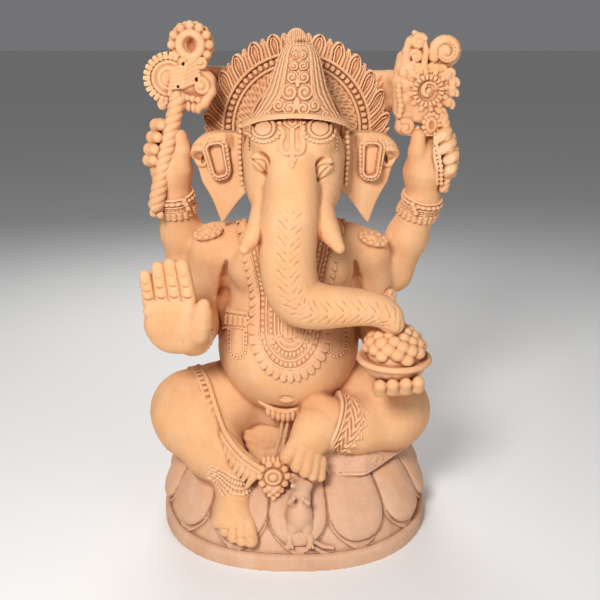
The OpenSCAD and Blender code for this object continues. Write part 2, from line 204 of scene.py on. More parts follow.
# ---------------------------------------------------------------- the shared skin

BODY = []   # (owner, form, softness, +1 to add or -1 to carve) in the order they are blended


def flesh(owner, forms, soft=0.0, sign=1):
    """Adds forms to the shared skin, as a share of the owner."""
    for form in forms if isinstance(forms, list) else [forms]:
        BODY.append((owner, form, soft, sign))


def limb(spot, soft, *stations):
    """Bones from station to station, owned by the spot's node."""
    flesh(spot.node, spot.chain(*stations), soft)


def hollow(owner, forms, soft=1.0):
    """Carves forms out of the shared skin."""
    flesh(owner, forms, soft, -1)


def blend(field, gap, soft, sign):
    """Adds a form to a distance, or carves it out where sign is negative."""
    return sign * blend_in(sign * field, gap, soft)


def skin(x, y, z):
    """Distance to the blended skin at points given as flat arrays."""
    d = np.full(np.shape(x), 1e3)
    for _, form, soft, sign in BODY:
        d = blend(d, form.gap(x, y, z), soft, sign)
    return d


def drape(points, out=FRONT, start=70.0):
    """Slides points along the direction out until they lie on the skin, coming from outside."""
    p = np.array(points, float)
    o = unit(out)
    q = p[:, :3] + o * start
    for _ in range(40):
        q = q - o * np.clip(skin(q[:, 0], q[:, 1], q[:, 2])[:, None], -2, 12) * 0.9
    return np.concatenate([q, p[:, 3:]], 1)


# ---------------------------------------------------------------- voxel clay

class Clay:
    """Block of voxels that holds the distance to the stone's surface, negative inside."""

    def __init__(self, low, high, voxel, pad=4.0):
        self.voxel = voxel
        self.low = np.floor((np.array(low) - pad) / voxel) * voxel
        count = np.ceil((np.array(high) + pad - self.low) / voxel).astype(int) + 1
        self.field = np.full(count, FAR, np.float32)

    def lines(self, cut=(slice(None),) * 3):
        """Open coordinate arrays of the whole block or of a cut of it."""
        out = []
        for k in range(3):
            line = (self.low[k] + np.arange(self.field.shape[k]) * self.voxel)[cut[k]]
            out.append(line.astype(np.float32).reshape([-1 if j == k else 1 for j in range(3)]))
        return out

    def cut_round(self, form, reach):
        """The part of the block that a form with this reach can change."""
        first = np.floor((form.low - reach - self.low) / self.voxel).astype(int)
        last = np.ceil((form.high + reach - self.low) / self.voxel).astype(int) + 1
        first = np.clip(first, 0, self.field.shape)
        last = np.clip(last, first, self.field.shape)
        return tuple(slice(a, b) for a, b in zip(first, last))

    def add(self, forms, soft=1.0, sign=1):
        for form in forms if isinstance(forms, list) else [forms]:
            cut = self.cut_round(form, soft + 3 * self.voxel)
            if all(c.stop > c.start for c in cut):
                gap = form.gap(*self.lines(cut))
                self.field[cut] = blend(self.field[cut], gap, soft, sign)
        return self

    def carve(self, forms, soft=0.6):
        return self.add(forms, soft, -1)

    def keep(self, gap):
        """Keeps only what lies inside a distance given over the whole block."""
        self.field = np.maximum(self.field, gap).astype(np.float32)
        return self

    def body_fields(self, owner=None):
        """The blended skin, and the plain distances to the owner's forms and to all others."""
        whole = np.full(self.field.shape, FAR, np.float32)
        own, other = whole.copy(), whole.copy()
        for name, form, soft, sign in BODY:
            cut = self.cut_round(form, soft + 12)
            if all(c.stop > c.start for c in cut):
                gap = form.gap(*self.lines(cut)).astype(np.float32)
                whole[cut] = blend(whole[cut], gap, soft, sign)
                if sign > 0:
                    mine = own if name == owner else other
                    mine[cut] = np.minimum(mine[cut], gap)
        return whole, own, other


def body_part(owner, voxel):
    """The owner's share of the skin, sunk a little under its neighbours."""
    forms = [form for name, form, _, sign in BODY if name == owner and sign > 0]
    clay = Clay(np.min([f.low for f in forms], 0), np.max([f.high for f in forms], 0), voxel, 6.0)
    whole, own, other = clay.body_fields(owner)
    past = (own - other) / 2
    clay.field = np.maximum(whole + SEAM_SLOPE * np.maximum(past, 0), past - SEAM)
    return clay


def relief(low, high, voxel, height, owner=None):
    """Carving raised on the skin: height(x, z) in mm over the front view, nothing where that
    is well below 0. It stays on the owner's share of the skin when one is given."""
    clay = Clay(low, high, voxel, 1.0)
    x, _, z = clay.lines()
    h = np.broadcast_to(height(x, z), (clay.field.shape[0], 1, clay.field.shape[2])).astype(np.float32)
    slope = np.hypot(*np.gradient(h[:, 0, :], voxel))[:, None, :]
    whole, own, other = clay.body_fields(owner)
    raised = (whole - h) / np.sqrt(1 + np.minimum(slope, 3) ** 2)
    clay.field = np.maximum(raised, -(whole + ROOT)).astype(np.float32)
    return clay.keep((own - other) / 2) if owner else clay


def block_edges(clay):
    """Closes the block so that nothing ends cut open at its sides."""
    for k in range(3):
        face = [slice(None)] * 3
        for side in (0, -1):
            face[k] = side
            clay.field[tuple(face)] = clay.voxel * 3
    return clay


# ---------------------------------------------------------------- from clay to mesh

PIECES = []   # (object, clay)


def box_blur(a, radius):
    """Mean over a cube of 2 radius + 1 voxels."""
    n = 2 * radius + 1
    for k in range(3):
        a = np.moveaxis(a, k, 0)
        edge = [(radius + 1, radius)] + [(0, 0)] * 2
        run = np.cumsum(np.pad(a, edge, mode="edge"), 0, dtype=np.float64)
        a = np.moveaxis(((run[n:] - run[:-n]) / n).astype(np.float32), 0, k)
    return a


def sample(a, index):
    """Value of a block at fractional indices, between its voxels."""
    i = np.clip(index, 0, np.array(a.shape) - 1.001)
    f = np.floor(i).astype(int)
    t = i - f
    out = 0
    for corner in np.ndindex(2, 2, 2):
        w = np.prod(np.where(corner, t, 1 - t), axis=1)
        out = out + w * a[tuple((f + corner).T)]
    return out


def cast(clay, name, stone, *nodes):
    """Turns clay into a piece that stands for the named CAD nodes."""
    material, slot = stone
    block_edges(clay)
    limit = 3 * clay.voxel
    grid = vdb.FloatGrid(limit)
    grid.copyFromArray(np.clip(clay.field, -limit, limit))
    points, quads = grid.convertToQuads(0.0)
    quads = quads.astype(np.int32)
    mesh = bpy.data.meshes.new(name)
    mesh.vertices.add(len(points))
    mesh.vertices.foreach_set("co", ((points * clay.voxel + clay.low) * MM).astype(np.float32).ravel())
    mesh.loops.add(quads.size)
    mesh.loops.foreach_set("vertex_index", quads.ravel())
    mesh.polygons.add(len(quads))
    mesh.polygons.foreach_set("loop_start", np.arange(0, quads.size, 4, dtype=np.int32))
    mesh.update(calc_edges=True)
    mesh.shade_smooth()
    # The edge value below is positive on ridges and negative in creases; the stone's colour turns it into
    # painted highlight and painted shade.
    fine = box_blur(clay.field, 1) - clay.field
    attribute = mesh.attributes.new("edge", "FLOAT", "POINT")
    attribute.data.foreach_set("value", (sample(fine, points) / clay.voxel).astype(np.float32))
    piece = bpy.data.objects.new(name, mesh)
    bpy.context.collection.objects.link(piece)
    mesh.materials.append(material)
    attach(piece, "root")
    if nodes:
        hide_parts(*nodes)
    PIECES.append((piece, clay))
    return piece


# ---------------------------------------------------------------- stone

def srgb(r, g, b):
    """Linear colour from 0-255 screen values."""
    return tuple(((c / 255 + 0.055) / 1.055) ** 2.4 if c > 10 else c / 3295 for c in (r, g, b)) + (1.0,)


class Nodes:
    """Short way to build a node tree."""

    def __init__(self, name):
        self.material = bpy.data.materials.new(name)
        self.material.use_nodes = True
        self.tree = self.material.node_tree
        self.shader = self.tree.nodes["Principled BSDF"]

    def add(self, kind, inputs=(), **settings):
        node = self.tree.nodes.new(kind)
        for key, value in settings.items():
            setattr(node, key, value)
        for key, value in dict(inputs).items():
            if isinstance(value, bpy.types.NodeSocket):
                self.tree.links.new(value, node.inputs[key])
            else:
                node.inputs[key].default_value = value
        return node

    def noise(self, scale, detail=4.0, rough=0.6, stretch=(1, 1, 1)):
        where = self.add("ShaderNodeTexCoord").outputs["Object"]
        moved = self.add("ShaderNodeMapping", {"Vector": where, "Scale": stretch}).outputs[0]
        return self.add("ShaderNodeTexNoise", {"Vector": moved, "Scale": scale, "Detail": detail,
                                               "Roughness": rough}).outputs["Fac"]

    def span(self, value, low, high, to_low=0.0, to_high=1.0):
        return self.add("ShaderNodeMapRange", {"Value": value, "From Min": low, "From Max": high,
                                               "To Min": to_low, "To Max": to_high}).outputs[0]

    def mix(self, factor, a, b):
        node = self.tree.nodes.new("ShaderNodeMix")
        node.data_type = "RGBA"
        for socket, value in ((node.inputs[0], factor), (node.inputs[6], a), (node.inputs[7], b)):
            if isinstance(value, bpy.types.NodeSocket):
                self.tree.links.new(value, socket)
            else:
                socket.default_value = value
        return node.outputs[2]


def sandstone(kind, body, pale, hollow, grain=0.25, tooling=0.0):
    """Material and slot of a dry sandstone: body colour in patches, pale streaks and dust, paler convex
    edges as painted highlight with some rubbed wear, hollows and creases darkened with painted shade and
    some dirt, grain and pits."""
    n = Nodes(kind + "_sandstone")
    patches = n.span(n.noise(13, 5, 0.62), 0.36, 0.64)
    colour = n.mix(patches, body, tuple(0.74 * a + 0.26 * b for a, b in zip(body, hollow)))
    streaks = n.span(n.noise(38, 6, 0.7, (1, 1, 0.35)), 0.42, 0.80, 0.0, 0.34)
    colour = n.mix(streaks, colour, pale)
    hollow_shade_and_dirt = n.add("ShaderNodeAttribute", attribute_name="hollow_shade_and_dirt").outputs["Fac"]
    edge = n.add("ShaderNodeAttribute", attribute_name="edge").outputs["Fac"]
    warm = n.span(n.noise(31, 4, 0.65), 0.46, 0.72, 0.0, 0.55)
    colour = n.mix(warm, colour, tuple(a * b for a, b in zip(body, (1.0, 0.86, 0.66, 1.0))))
    # Painted shade: darkens towards the hollow colour where more stone surrounds the surface, partly dirt
    # in the crevices.
    colour = n.mix(n.span(hollow_shade_and_dirt, 0.05, 0.60, 0.0, 0.78), colour, hollow)
    # Painted shade in fine creases, where the edge value is negative.
    colour = n.mix(n.span(edge, -0.03, -0.20, 0.0, 0.74), colour, hollow)
    # Painted highlight on convex edges, partly pale rubbed wear.
    colour = n.mix(n.span(edge, 0.10, 0.36, 0.0, 0.35), colour, pale)
    specks = n.span(n.noise(900, 2, 0.7), 0.35, 0.7, 0.0, 0.22)
    colour = n.mix(specks, colour, tuple(0.62 * c for c in body[:3]) + (1.0,))
    dust = n.span(n.noise(420, 3, 0.7), 0.55, 0.85, 0.0, 0.14)
    colour = n.mix(dust, colour, pale)
    pits = n.add("ShaderNodeTexVoronoi", {"Vector": n.add("ShaderNodeTexCoord").outputs["Object"],
                                          "Scale": 150.0, "Randomness": 1.0})
    pit = n.span(pits.outputs["Distance"], 0.0, 0.13, 1.0, 0.0)
    rare = n.span(n.noise(60, 2), 0.60, 0.66)
    pitted = n.add("ShaderNodeMath", {0: pit, 1: rare}, operation="MULTIPLY").outputs[0]
    colour = n.mix(pitted, colour, hollow)
    n.tree.links.new(colour, n.shader.inputs["Base Color"])
    n.shader.inputs["Roughness"].default_value = 0.88
    n.shader.inputs["Specular IOR Level"].default_value = 0.25
    height = n.add("ShaderNodeMath", {0: n.noise(700, 3, 0.75), 1: n.noise(170, 4, 0.65)},
                   operation="ADD").outputs[0]
    height = n.add("ShaderNodeMath", {0: height, 1: pitted}, operation="SUBTRACT").outputs[0]
    bump = n.add("ShaderNodeBump", {"Height": height, "Strength": grain, "Distance": 0.0012})
    if tooling:
        strokes = n.noise(95, 3, 0.55, (1, 1, 0.22))
        bump = n.add("ShaderNodeBump", {"Height": strokes, "Strength": tooling, "Distance": 0.003,
                                        "Normal": bump.outputs[0]})
    n.tree.links.new(bump.outputs[0], n.shader.inputs["Normal"])
    return n.material, kind + "_stone"


# Painted shade: the colour below, and the third colour given to each sandstone, darkens hollows and
# creases, partly as dirt; a little of it also tints the random patches.
SHADE_AND_DIRT = srgb(168, 100, 60)
SMOOTH = sandstone("smooth", srgb(230, 176, 128), srgb(246, 214, 176), SHADE_AND_DIRT)
CARVED = sandstone("carved", srgb(230, 177, 131), srgb(247, 216, 180), SHADE_AND_DIRT, 0.35)
BASE = sandstone("base", srgb(218, 172, 139), srgb(242, 214, 188), srgb(160, 106, 76), 0.35, 0.35)


# ---------------------------------------------------------------- camera, light, floor

base = Spot("plinth", (0, 0, 9))
EYE = (7.2, -1005, 600)     # the camera's place in mm from the middle of the underside
LENS = 50.2                 # mm of focal length over a 36 mm wide sensor
LOOK_DOWN = 17.7            # degrees
LAMPS = (("key", (-420, -1250, 1200), 400, 24.5),   # name, place in mm, size in mm, watts
         ("fill", (950, -1050, 520), 900, 4.5),
         ("rim", (-200, 950, 1100), 800, 9))
LIT = (0, 0, 280)           # where the lamps point, in mm
FLOOR_HALF = 30.0           # half the floor's width in m


def aim(obj, place, target):
    """Puts a lamp at a place in mm and turns it to its target."""
    obj.location = Vector(place * MM)
    obj.rotation_euler = Vector((target - place) * MM).to_track_quat("-Z", "Y").to_euler()


def studio():
    camera = bpy.data.objects.new("camera", bpy.data.cameras.new("camera"))
    bpy.context.collection.objects.link(camera)
    camera.data.lens = LENS
    camera.data.sensor_width = 36
    camera.location = Vector(base(*EYE) * MM)
    camera.rotation_euler = (math.radians(90 - LOOK_DOWN), 0, 0)
    bpy.context.scene.camera = camera
    for name, place, size, power in LAMPS:
        lamp = bpy.data.objects.new(name, bpy.data.lights.new(name, "AREA"))
        lamp.data.size = size * MM
        lamp.data.energy = power
        bpy.context.collection.objects.link(lamp)
        aim(lamp, base(*place), base(*LIT))
    world = bpy.data.worlds.new("studio")
    bpy.context.scene.world = world
    world.use_nodes = True
    world.node_tree.nodes["Background"].inputs[0].default_value = (0.95, 0.96, 1.0, 1)
    world.node_tree.nodes["Background"].inputs[1].default_value = 0.18
    bpy.context.scene.view_settings.view_transform = "Standard"
    mesh = bpy.data.meshes.new("floor")
    corners = ((-1, -1), (1, -1), (1, 1), (-1, 1))
    mesh.from_pydata([(FLOOR_HALF * x, FLOOR_HALF * y, 0) for x, y in corners], [], [(0, 1, 2, 3)])
    floor = bpy.data.objects.new("floor", mesh)
    floor.location = Vector(base(0, 0, 0) * MM)
    bpy.context.collection.objects.link(floor)
    pale = Nodes("floor")
    pale.shader.inputs["Base Color"].default_value = srgb(232, 231, 229)
    pale.shader.inputs["Roughness"].default_value = 0.9
    mesh.materials.append(pale.material)


studio()


# ---------------------------------------------------------------- the figure's forms

T = Spot("torso", (-4, -8, 265))
flesh("torso", egg(T(-8, -12, 222), (87, 88, 86)))
flesh("torso", egg(T(-6, 12, 240), (79, 72, 92)), 26)
flesh("torso", egg(T(-5, 4, 324), (84, 58, 54)), 26)
for x in (-44, 34):
    flesh("torso", egg(T(x, -34, 330), (33, 23, 27)), 13)
flesh("torso", egg(T(-3, 6, 138), (92, 66, 44)), 16)
flesh("torso", bone(T(-2, 2, 350, 48), T(-1, 4, 408, 42)), 16)
for x in (-70, 62):
    flesh("torso", ball(T(x, 8, 343, 35)), 14)

RL = Spot("right_leg", (-90, -36, 135))
limb(RL, 8, (-46, 6, 142, 50), (-92, -20, 147, 52), (-129, -43, 148, 51.5))
limb(RL, 14, (-124, -56, 130, 42), (-98, -80, 109, 33), (-72, -99, 90, 25))
LL = Spot("left_leg", (84, -33, 146))
limb(LL, 8, (42, 6, 142, 50), (84, -18, 147, 51), (121, -40, 148, 50))
limb(LL, 12, (116, -58, 143, 37), (76, -78, 144, 33), (38, -92, 154, 29))

RF = Spot("right_foot", (-73.5, -118.6, 65))
limb(RF, 8, (-72, -100, 84, 25), (-73, -122, 66, 21))
flesh("right_foot", egg(RF(-73, -137, 52), (25, 20, 15)), 12)
for tip, root, r in (((-50, -161, 37), (-55, -144, 50), 8.6), ((-61, -161, 37), (-63, -145, 51), 7.0),
                     ((-71, -158, 39), (-71, -144, 52), 6.8), ((-81, -152, 43), (-79, -141, 54), 6.5),
                     ((-91, -144, 49), (-87, -134, 58), 6.2)):
    flesh("right_foot", bone(RF(*root, r + 0.5), RF(*tip, r)), 2.2)
    flesh("right_foot", egg(RF(*tip)[:3] + (0, -0.70 * r, 0.48 * r), (0.56 * r, 0.32 * r, 0.42 * r)), 0.3)

LF = Spot("left_foot", (23.5, -99.7, 139.3))
limb(LF, 8, (33, -92, 156, 29), (25, -106, 156, 25))
flesh("left_foot", egg(LF(17, -115, 140), (23, 15, 22)), 12)
for tip, root, r in (((-8, -133, 130), (2, -124, 143), 8.6), ((3, -137, 120), (9, -127, 136), 7.4),
                     ((13, -138, 113), (17, -127, 131), 7.0), ((22, -136, 107), (25, -125, 125), 6.6),
                     ((31, -131, 103), (32, -122, 119), 6.2)):
    flesh("left_foot", bone(LF(*root, r + 1.0), LF(*tip, r)), 3.0)
    flesh("left_foot", egg(LF(*tip)[:3] + (0, -0.84 * r, 0.05 * r), (0.56 * r, 0.26 * r, 0.60 * r)), 0.3)

RA = Spot("right_front_arm", (-108, -26, 306))
limb(RA, 9, (-95, 8, 341, 36), (-107, 20, 300, 31), (-110, 20, 262, 27))
limb(RA, 9, (-110, 18, 262, 27), (-118, -45, 260, 24), (-118, -92, 262, 20))
LA = Spot("left_front_arm", (97.6, -24, 288))
limb(LA, 9, (87, 8, 336, 33), (94, 14, 300, 28), (96, 12, 266, 26))
limb(LA, 9, (96, 12, 264, 26), (108, -50, 238, 21), (115, -88, 222, 17))
RR = Spot("right_rear_arm", (-122.5, 21, 356))
limb(RR, 9, (-98, 24, 340, 30), (-136, 32, 320, 26))
limb(RR, 9, (-136, 32, 320, 26), (-141, 20, 362, 25), (-146, 6, 404, 21))
LR = Spot("left_rear_arm", (125, 24.5, 349))
limb(LR, 9, (90, 24, 334, 29), (126, 38, 306, 25))
limb(LR, 9, (126, 38, 306, 25), (142, 24, 356, 25), (156, 9, 402, 21))

HD = Spot("head", (0, -33, 441))
flesh("head", egg(HD(0, -44, 466), (58, 57, 56)), 8)
flesh("head", ball(HD(0, -16, 414, 42)), 16)
for side in (-1, 1):
    flesh("head", egg(HD(side * 29, -56, 434), (25, 31, 34)), 12)
    flesh("head", egg(HD(side * 27, -78, 489), (20, 19, 15)), 9)
    flesh("head", bone(HD(side * 29 - 1, -80, 414, 17), HD(side * 37 - 1, -97, 393, 14)), 9)

TK = Spot("trunk", (44, -97.5, 382))
TRUNK_LINE = smooth_path([TK(0, -72, 476, 24), TK(-1, -90, 446, 27.5), TK(-4, -102, 400, 29.5),
                          TK(-6, -109, 352, 29.5), TK(3, -114, 318, 27.5), TK(26, -117, 309, 24),
                          TK(56, -119, 309, 20.8), TK(86, -121, 308, 17.5), TK(104, -122, 301, 14.5),
                          TK(112, -123, 289, 11)], 3)
flesh("trunk", chain(list(TRUNK_LINE)), 6)

RH = Spot("right_front_hand", (-133, -107, 306))
flesh("right_front_hand", block(RH(-137.5, -109, 296), (30, 11.5, 22), 11), 5)
flesh("right_front_hand", egg(RH(-135, -109, 281), (32.5, 14, 31)), 9)
limb(RH, 6, (-108, -110, 274, 12.5), (-103.5, -113, 288, 10.6), (-101, -116, 301, 8.6),
     (-100, -118, 311, 7.2))
flesh("right_front_hand", egg(RH(-96, -120, 309), (3.2, 3.6, 6.5)), 0.5)
FINGERS = ((-161.5, -164.5, 350, 7.4), (-146.5, -150, 360, 8.0), (-131.5, -136.5, 364, 8.2),
           (-116.5, -123, 363, 8.4))
for foot_x, tip_x, top, r in FINGERS:
    ends = RH(foot_x, -110, 310, r + 0.6), RH(tip_x, -111, top - r, r - 0.5)
    flesh("right_front_hand", bone(*ends), 1.2)
    for share in (0.20, 0.49, 0.76):
        mid = ends[0][:3] + (ends[1] - ends[0])[:3] * share
        fold = [np.append(mid + (dx * (r - 1.2), -r - 0.2 + 1.8 * dx * dx, 1.8 * dx * dx), 1.3)
                for dx in (-1, -0.5, 0, 0.5, 1)]
        hollow("right_front_hand", chain(fold), 0.8)
    flesh("right_front_hand", egg(RH(foot_x, -117.5, 303), (6.8, 5, 7)), 2)

LH = Spot("left_front_hand", (118.7, -112, 222))
flesh("left_front_hand", block(LH(116, -112, 217), (22, 26, 11), 10), 6)
for i in range(4):
    x = 96 + 14.2 * i
    limb(LH, 2.0, (x, -128, 217, 7.6), (x, -142, 218 + 1.5 * i, 7.4), (x, -148, 226 + 1.5 * i, 7.0))

RRH = Spot("right_rear_hand", (-151.5, 0, 444))
limb(RRH, 8, (-146, 4, 412, 20), (-147, 0, 444, 24), (-146, -2, 462, 20))
limb(RRH, 4, (-134, -8, 446, 12), (-131, -14, 468, 10), (-133, -16, 484, 8.5))
for i, (x, y, z) in enumerate(((-162, -12, 497), (-167, -12, 483), (-171, -12, 469), (-173, -10, 456))):
    limb(RRH, 2.6, (x + 16, 6, z - 4, 8.0), (x + 4, -2, z - 1, 7.6),
         (x + 1, y, z, 7.0), (x + 9, y - 10, z + 1, 6.2))

LRH = Spot("left_rear_hand", (162.5, 2, 442))
limb(LRH, 8, (157, 8, 410, 20), (155, 2, 440, 22), (156, 0, 458, 19))
limb(LRH, 4, (147, -8, 444, 12), (145, -12, 466, 10), (146, -12, 484, 8.4))
for i, (x, z) in enumerate(((184, 482), (188, 468), (189, 454), (187, 441))):
    limb(LRH, 2.2, (x - 20, 6, z - 4, 8.6), (x - 5, 2, z - 1, 8.0),
         (x, -6, z, 7.2), (x - 6, -15, z + 1, 6.4))


def body_parts():
    """Cuts the shared skin into the stone of each part of the body."""
    for name, voxel in (("torso", 1.7), ("right_leg", COARSE), ("left_leg", COARSE),
                        ("right_foot", MEDIUM), ("left_foot", MEDIUM),
                        ("right_front_arm", COARSE), ("left_front_arm", COARSE),
                        ("right_rear_arm", COARSE), ("left_rear_arm", COARSE),
                        ("right_front_hand", MEDIUM), ("left_front_hand", MEDIUM),
                        ("right_rear_hand", MEDIUM), ("left_rear_hand", MEDIUM),
                        ("head", 1.0), ("trunk", 1.0)):
        clay = body_part(name, voxel)
        cast(vine(clay) if name == "trunk" else clay, name + "_stone", SMOOTH, name)


# ---------------------------------------------------------------- relief patterns, in mm

NONE = -3.0     # height where a relief leaves nothing


def bump(t, half, height, floor=NONE):
    """Rounded ridge across t, floor outside it."""
    q = np.clip(np.abs(t) / half, 0, 1)
    return np.where(q < 1, height * np.sqrt(1 - q ** 2) - 0.2, floor)


def ridges(h, t, rows, floor=NONE):
    """Raises ridges across t, given as (place, half width, height), out of a relief."""
    for at, half, height in rows:
        h = np.maximum(h, bump(t - at, half, height, floor))
    return h


def wave(s, pitch):
    """Offset from the middle of the nearest repeat along s."""
    return (s / pitch - np.round(s / pitch)) * pitch


def bead_row(s, t, r, pitch, height=None):
    u = wave(s, pitch)
    q = np.sqrt(u ** 2 + t ** 2) / r
    return np.where(q < 1, (height or r) * np.sqrt(np.clip(1 - q ** 2, 0, 1)), NONE)


def curl(x, z, radius, height, turns, side):
    """Scroll: a ridge that winds in to its eye."""
    r = np.sqrt(x ** 2 + z ** 2)
    a = np.arctan2(z, side * x)
    pitch = radius / turns
    phase = r / pitch - a / (2 * np.pi)
    ridge = 0.5 + 0.5 * np.cos(2 * np.pi * (phase - 0.5))
    eye = np.clip(1 - r / (0.3 * radius), 0, 1)
    h = height * (0.45 + 0.55 * np.maximum(ridge, eye))
    return np.where(r < radius, h * np.clip((radius - r) / 0.8, 0, 1) ** 0.5, NONE)


def oval(x, z, a, b):
    """Rough distance to an ellipse outline."""
    k = np.sqrt((x / a) ** 2 + (z / b) ** 2)
    return (k - 1) * min(a, b)


def outline_gap(points, x, z):
    """Signed distance in the upright plane to a closed outline."""
    p = np.array(points, float)
    best = np.full(np.broadcast(x, z).shape, 1e9)
    inside = np.zeros(best.shape, bool)
    for a, b in zip(p, np.roll(p, -1, 0)):
        d = b - a
        t = np.clip(((x - a[0]) * d[0] + (z - a[1]) * d[1]) / max(d @ d, 1e-9), 0, 1)
        best = np.minimum(best, (x - a[0] - t * d[0]) ** 2 + (z - a[1] - t * d[1]) ** 2)
        crosses = (a[1] > z) != (b[1] > z)
        level = a[0] + (z - a[1]) * d[0] / (d[1] if abs(d[1]) > 1e-9 else 1e-9)
        inside ^= crosses & (x < level)
    return np.where(inside, -1, 1) * np.sqrt(best)


def stroke(points, x, z):
    """Distance in the upright plane to an open line, and how far along it the nearest point is."""
    p = np.array(points, float)
    best = np.full(np.broadcast(x, z).shape, 1e9)
    along = np.zeros(best.shape)
    run = 0.0
    for a, b in zip(p, p[1:]):
        d = b - a
        n = math.hypot(*d)
        t = np.clip(((x - a[0]) * d[0] + (z - a[1]) * d[1]) / n ** 2, 0, 1)
        gap = np.hypot(x - a[0] - t * d[0], z - a[1] - t * d[1])
        nearer = gap < best
        best = np.where(nearer, gap, best)
        along = np.where(nearer, run + t * n, along)
        run += n
    return best, along


def slab(low, high, voxel, edge, front, back):
    """Upright plate: edge(x, z) is its outline's distance, front(x, z) its front surface's y."""
    clay = Clay(low, high, voxel, 2.0)
    x, y, z = clay.lines()
    shape = (clay.field.shape[0], 1, clay.field.shape[2])
    f = np.broadcast_to(front(x, z), shape).astype(np.float32)
    slope = np.hypot(*np.gradient(f[:, 0, :], voxel))[:, None, :]
    e = np.broadcast_to(edge(x, z), shape).astype(np.float32)
    face = (f - y) / np.sqrt(1 + np.minimum(slope, 3) ** 2)
    clay.field = -blend_in(-np.maximum(face, y - back), -e, 2.0).astype(np.float32)
    return clay


# ---------------------------------------------------------------- halo

HC = Spot("halo", (3, 48, 487))
HALO = HC(3, 48, 487)
PLATE_Y = HALO[1] - 8       # front of the plain plate
HALO_BACK = HALO[1] + 13
BEAD_RING, FLAME_ROOT, FLAME_TIP = 84.0, 92.0, 117.0
FLAME_STEP = 15.2           # degrees between large flames
FLAME_LEAN = 0.44           # degrees that a side flame leans to the top for each mm of its length


def halo_polar(x, z):
    """Radius in mm and angle in degrees from the middle of the halo."""
    x, z = x - HALO[0], z - HALO[2]
    return np.sqrt(x ** 2 + z ** 2), np.degrees(np.arctan2(z, x))


def flame_shape(x, z):
    """Height of the flames, and the distance to the scalloped edge they make."""
    r, a = halo_polar(x, z)
    arc = np.radians(FLAME_STEP) * r
    lean = FLAME_LEAN * np.clip((np.abs(a - 90) - 12) / 55, 0, 1) * np.clip(r - FLAME_ROOT, -6, 40)
    k = (np.abs(a - 90) + lean) / FLAME_STEP
    top = k < 0.5
    off = np.where(top, k * arc, wave(k, 1.0) * arc)
    gap = wave(k + 0.5, 1.0) * arc
    half = np.where(top, 13.5, 11.8)
    length = np.where(top, FLAME_TIP + 1.5, FLAME_TIP - 2) - FLAME_ROOT
    up = (r - FLAME_ROOT) / length
    cap = np.clip(up - 0.42, 0, 0.6) / 0.6
    width = half * np.sqrt(np.clip(1 - cap ** 2, 0, 1)) * (0.82 + 0.18 * np.clip(up / 0.5, 0, 1))
    big = np.where(up < 1.02, np.abs(off) - width, 6)
    leaf_cap = np.clip((r - FLAME_ROOT - 8) / 14.5, 0, 1)
    thin = np.abs(gap) - 5.4 * np.sqrt(1 - leaf_cap ** 2)
    edge = np.minimum(big, np.where(leaf_cap < 1, thin, 6))
    border = bump(big + 2.6, 2.8, 8.0, 0)
    bed = np.where(big < -2.6, 2.4, 0)
    arch = bump(np.abs(off) - np.maximum(width - 7.2, 0.4), 1.7, 6.0, 0) * (up < 0.84)
    veins = 5.2 + 1.0 * np.cos(2 * np.pi * gap / 3.4)
    h = np.where(big < 0, np.maximum(np.maximum(border, bed), arch), np.where(thin < 0, veins, 1.0))
    tuft = 8.0 + 0.7 * np.cos(2 * np.pi * off / 2.4) - 1.2 * cap
    return np.where(top & (big < 0), tuft, h), np.maximum(edge, FLAME_ROOT - 4 - r)


def halo_height(x, z):
    """Band of scroll work between the ridges of the plate."""
    r, a = halo_polar(x, z)
    s = np.radians(a) * 70
    scrolls = 1.2 + 1.5 * np.maximum(np.cos(2 * np.pi * s / 9.5) * np.cos(np.pi * (r - 68.5) / 8),
                                     np.cos(2 * np.pi * (s / 4.75 + (r - 68) / 9)) - 0.45)
    h = np.where((r > 59) & (r < 75), scrolls, 0.0)
    return ridges(h, r, ((57.5, 1.8, 3.2), (77.6, 2.4, 5.0), (90.2, 2.6, 6.0)), 0)


def make_halo():
    low = HALO - (122, 15, 122)
    high = HALO + (122, 14, 122)
    plate = slab(low, high, 1.0, lambda x, z: halo_polar(x, z)[0] - (FLAME_ROOT + 1),
                 lambda x, z: PLATE_Y - halo_height(x, z), HALO_BACK)
    cast(plate, "halo_plate", CARVED, "halo")
    low[2] = HALO[2] - 48
    flames = slab(low, high, 1.0, lambda x, z: flame_shape(x, z)[1],
                  lambda x, z: PLATE_Y + 1 - flame_shape(x, z)[0], HALO_BACK - 1)
    x, _, z = flames.lines()
    flames.keep(HALO[2] - 44 - z + 0 * x)
    cast(flames, "halo_flame_border", CARVED, "halo_flames")
    beads = Clay(HALO - (90, 14, 22), HALO + (90, -4, 90), MEDIUM)
    step = 7.6 / BEAD_RING
    for a in np.arange(-0.15, math.pi + 0.15, step):
        c = HALO + (BEAD_RING * math.cos(a), 0, BEAD_RING * math.sin(a))
        c[1] = PLATE_Y - 0.6
        rows = axes((-math.sin(a), 0, math.cos(a)), FRONT)
        beads.add(block(c, (2.9, 3.5, 3.6), 2.2, rows), 0)
    cast(beads, "halo_bead_ring", CARVED, "halo_beads")


make_halo()


# ---------------------------------------------------------------- crown and forehead

CR = Spot("crown", (2, -40.7, 544.8))
BRIM_MID = CR(2, 0, 496)
BRIM_SWELL = 0.55   # how far the rolled edge stands out all round, in mm
CROWN_EDGE = ((496, 54), (503, 51), (512, 46), (520, 41), (530, 36), (542, 30.5), (556, 26.5),
              (570, 23), (580, 19.5), (586, 15), (590, 9), (592, 3))    # height, half width


def crown_half(z):
    heights, halves = zip(*CROWN_EDGE)
    return np.interp(z - CR.shift[2], heights, halves)


def crown_middle(z):
    return BRIM_MID[0] + 0.055 * (z - BRIM_MID[2])


